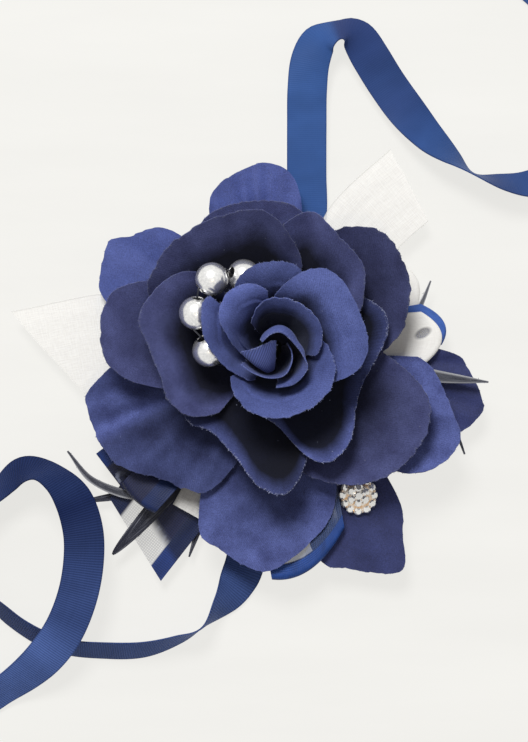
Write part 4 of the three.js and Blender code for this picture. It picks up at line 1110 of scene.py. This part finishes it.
def cluster():
    cup = CLUSTER_DIAMETER / 2 - STONE * 0.6
    base, dome = CLUSTER_BASE, CLUSTER_DOME
    profile = [(0.001, 0), (cup * 0.8, 0), (cup, base * 0.5), (cup, base), (cup * 0.8, base + dome * 0.4),
               (cup * 0.4, base + dome * 0.85), (0.001, base + dome)]
    points, faces = turned(profile, CUP_SIDES, False)
    points, kinds = [points], [0] * len(faces)
    random = np.random.default_rng(19)
    stone = STONE_SECTION * STONE
    spots = []
    for ring, count in enumerate(CRYSTAL_RINGS):
        radius = ring * (CLUSTER_DIAMETER - 2 * STONE) / 2 / (len(CRYSTAL_RINGS) - 1)
        height = base + dome * (1 - (radius / cup) ** 2) - STONE * 0.1
        for k in range(count):
            turn = 2 * math.pi * (k + 0.5 * (ring % 2)) / count
            tilt = unit(around(radius, turn, STONE_UPRIGHT) + random.normal(0, STONE_LEAN, 3))
            spots.append((stone, STONE_SIDES, tilt, around(radius, turn, height), 1))
            if ring:
                turn += math.pi / count
                spots.append((CLAW_SECTION, CLAW_SIDES, tilt, around(radius, turn, height + CLAW_LIFT), 0))
    for shape, sides, tilt, spot, kind in spots:
        more, more_faces = turned(shape, sides, False)
        start = sum(map(len, points))
        points.append(more @ turn_to(tilt).T + spot)
        faces += [tuple(start + i for i in f) for f in more_faces]
        kinds += [kind] * len(more_faces)
    lift = layer_height(CLUSTER_AT["layer"], np.array(CLUSTER_AT["radius"])) + CLUSTER_LIFT
    place = around(CLUSTER_AT["radius"], math.radians(CLUSTER_AT["degrees"]), float(lift))
    placed = np.vstack(points) + place
    return make_object("crystal_cluster_stones", placed, faces, [SETTING, CRYSTAL], 25, kinds)


stands_for(cluster(), "crystal_cluster")


# Felt pad with a fluffy cut edge
PAD_RADIUS = 22.0
PAD_THICKNESS = 1.2
PAD_SIDES = 120
FLUFF_WIDTH = 0.03


def felt_pad():
    random = np.random.default_rng(22)
    r = PAD_RADIUS
    under = [(0.001, 0), (8, 0), (16, 0), (r - 0.5, 0), (r - 0.15, 0.12), (r, 0.4)]
    over = [(r, 0.8), (r - 0.15, 1.08), (r - 0.5, PAD_THICKNESS), (16, PAD_THICKNESS), (8, PAD_THICKNESS),
            (0.001, PAD_THICKNESS)]
    points, faces = turned(under + over, PAD_SIDES, False)
    outer = np.hypot(points[:, 0], points[:, 1]) > r - 0.3
    points[outer, :2] *= 1 + random.normal(0, 0.002, (outer.sum(), 1))
    bases = points[outer][::3]
    ways = unit(bases * np.array([1, 1, 0]) + random.normal(0, 6, bases.shape))
    ways[:, 2] = np.abs(ways[:, 2])
    more, tips = spikes(bases, ways, 0.2 + 0.5 * random.random(len(bases)), FLUFF_WIDTH, len(points))
    return make_object("felt_pad_cloth", np.vstack([points, more]), faces + list(tips), [FELT])


pad = stands_for(felt_pad(), "felt_pad")

for node, material in (("glue_hub", GLUE), ("receptacle", PLASTIC), ("pearl_wire", WIRE)):
    frame["nodes"][node].data.materials.clear()
    frame["nodes"][node].data.materials.append(material)


# Floor, light and background
FLOOR_COLOUR = colour(242, 241, 237)
FLOOR_GLOW = 0.87
# Half the side of the floor in millimetres and its height in metres, and the strength of the world's light
FLOOR_SIDE = 4000.0
FLOOR_AT = -0.0003
WORLD_LIGHT = 0.34


def floor():
    """Pale table; where it is seen, most of its colour is its own glow, so the shadow on it stays faint."""
    look = Look("floor", Roughness=0.9, Specular_IOR_Level=0.1)
    drawn = look.node("ShaderNodeMapping", {"Vector": look.place(), "Scale": (0.15, 1, 1)})
    tone = look.tint(FLOOR_COLOUR, look.span(look.noise(drawn, 22.0, 5.0), 0.3, 0.7, 0.975, 1.015))
    look.put("Base Color", tone)
    glow = look.node("ShaderNodeEmission", {"Color": tone})
    share = look.times(look.seen(), FLOOR_GLOW)
    lit = look.node("ShaderNodeMixShader", {0: share, 1: look.shader.outputs[0], 2: glow})
    look.feed(look.tree.nodes["Material Output"].inputs["Surface"], lit)
    side = FLOOR_SIDE
    corners = [(-side, -side, 0), (side, -side, 0), (side, side, 0), (-side, side, 0)]
    made = make_object("floor", corners, [(0, 1, 2, 3)], [look.material])
    made.location.z = FLOOR_AT


def lamp(name, place, size, power, tint):
    """A round lamp that points at the middle of the pad."""
    light = bpy.data.lights.new(name, "AREA")
    light.shape = "DISK"
    light.size = size
    light.energy = power
    light.color = tint
    made = bpy.data.objects.new(name, light)
    made.location = place
    made.rotation_mode = "QUATERNION"
    made.rotation_quaternion = Vector(unit(-np.array(place))).to_track_quat("-Z", "Y")
    bpy.context.scene.collection.objects.link(made)


def background():
    """White where it is seen, and softer as a light."""
    world = bpy.data.worlds.new("studio")
    bpy.context.scene.world = world
    world.use_nodes = True
    graph = Graph(world.node_tree)
    graph.tree.nodes.clear()
    shown = graph.node("ShaderNodeBackground", {"Color": FLOOR_COLOUR})
    lit = graph.node("ShaderNodeBackground", {"Color": (1, 1, 1, 1), "Strength": WORLD_LIGHT})
    choice = graph.node("ShaderNodeMixShader", {0: graph.seen(), 1: lit, 2: shown})
    graph.feed(graph.tree.nodes.new("ShaderNodeOutputWorld").inputs["Surface"], choice)


floor()
background()
lamp("key", (-0.14, 0.46, 0.78), 0.3, 7.7, (1, 1, 1))
lamp("warm", (0.04, -0.12, 0.6), 0.03, 0.12, (1.0, 0.78, 0.5))
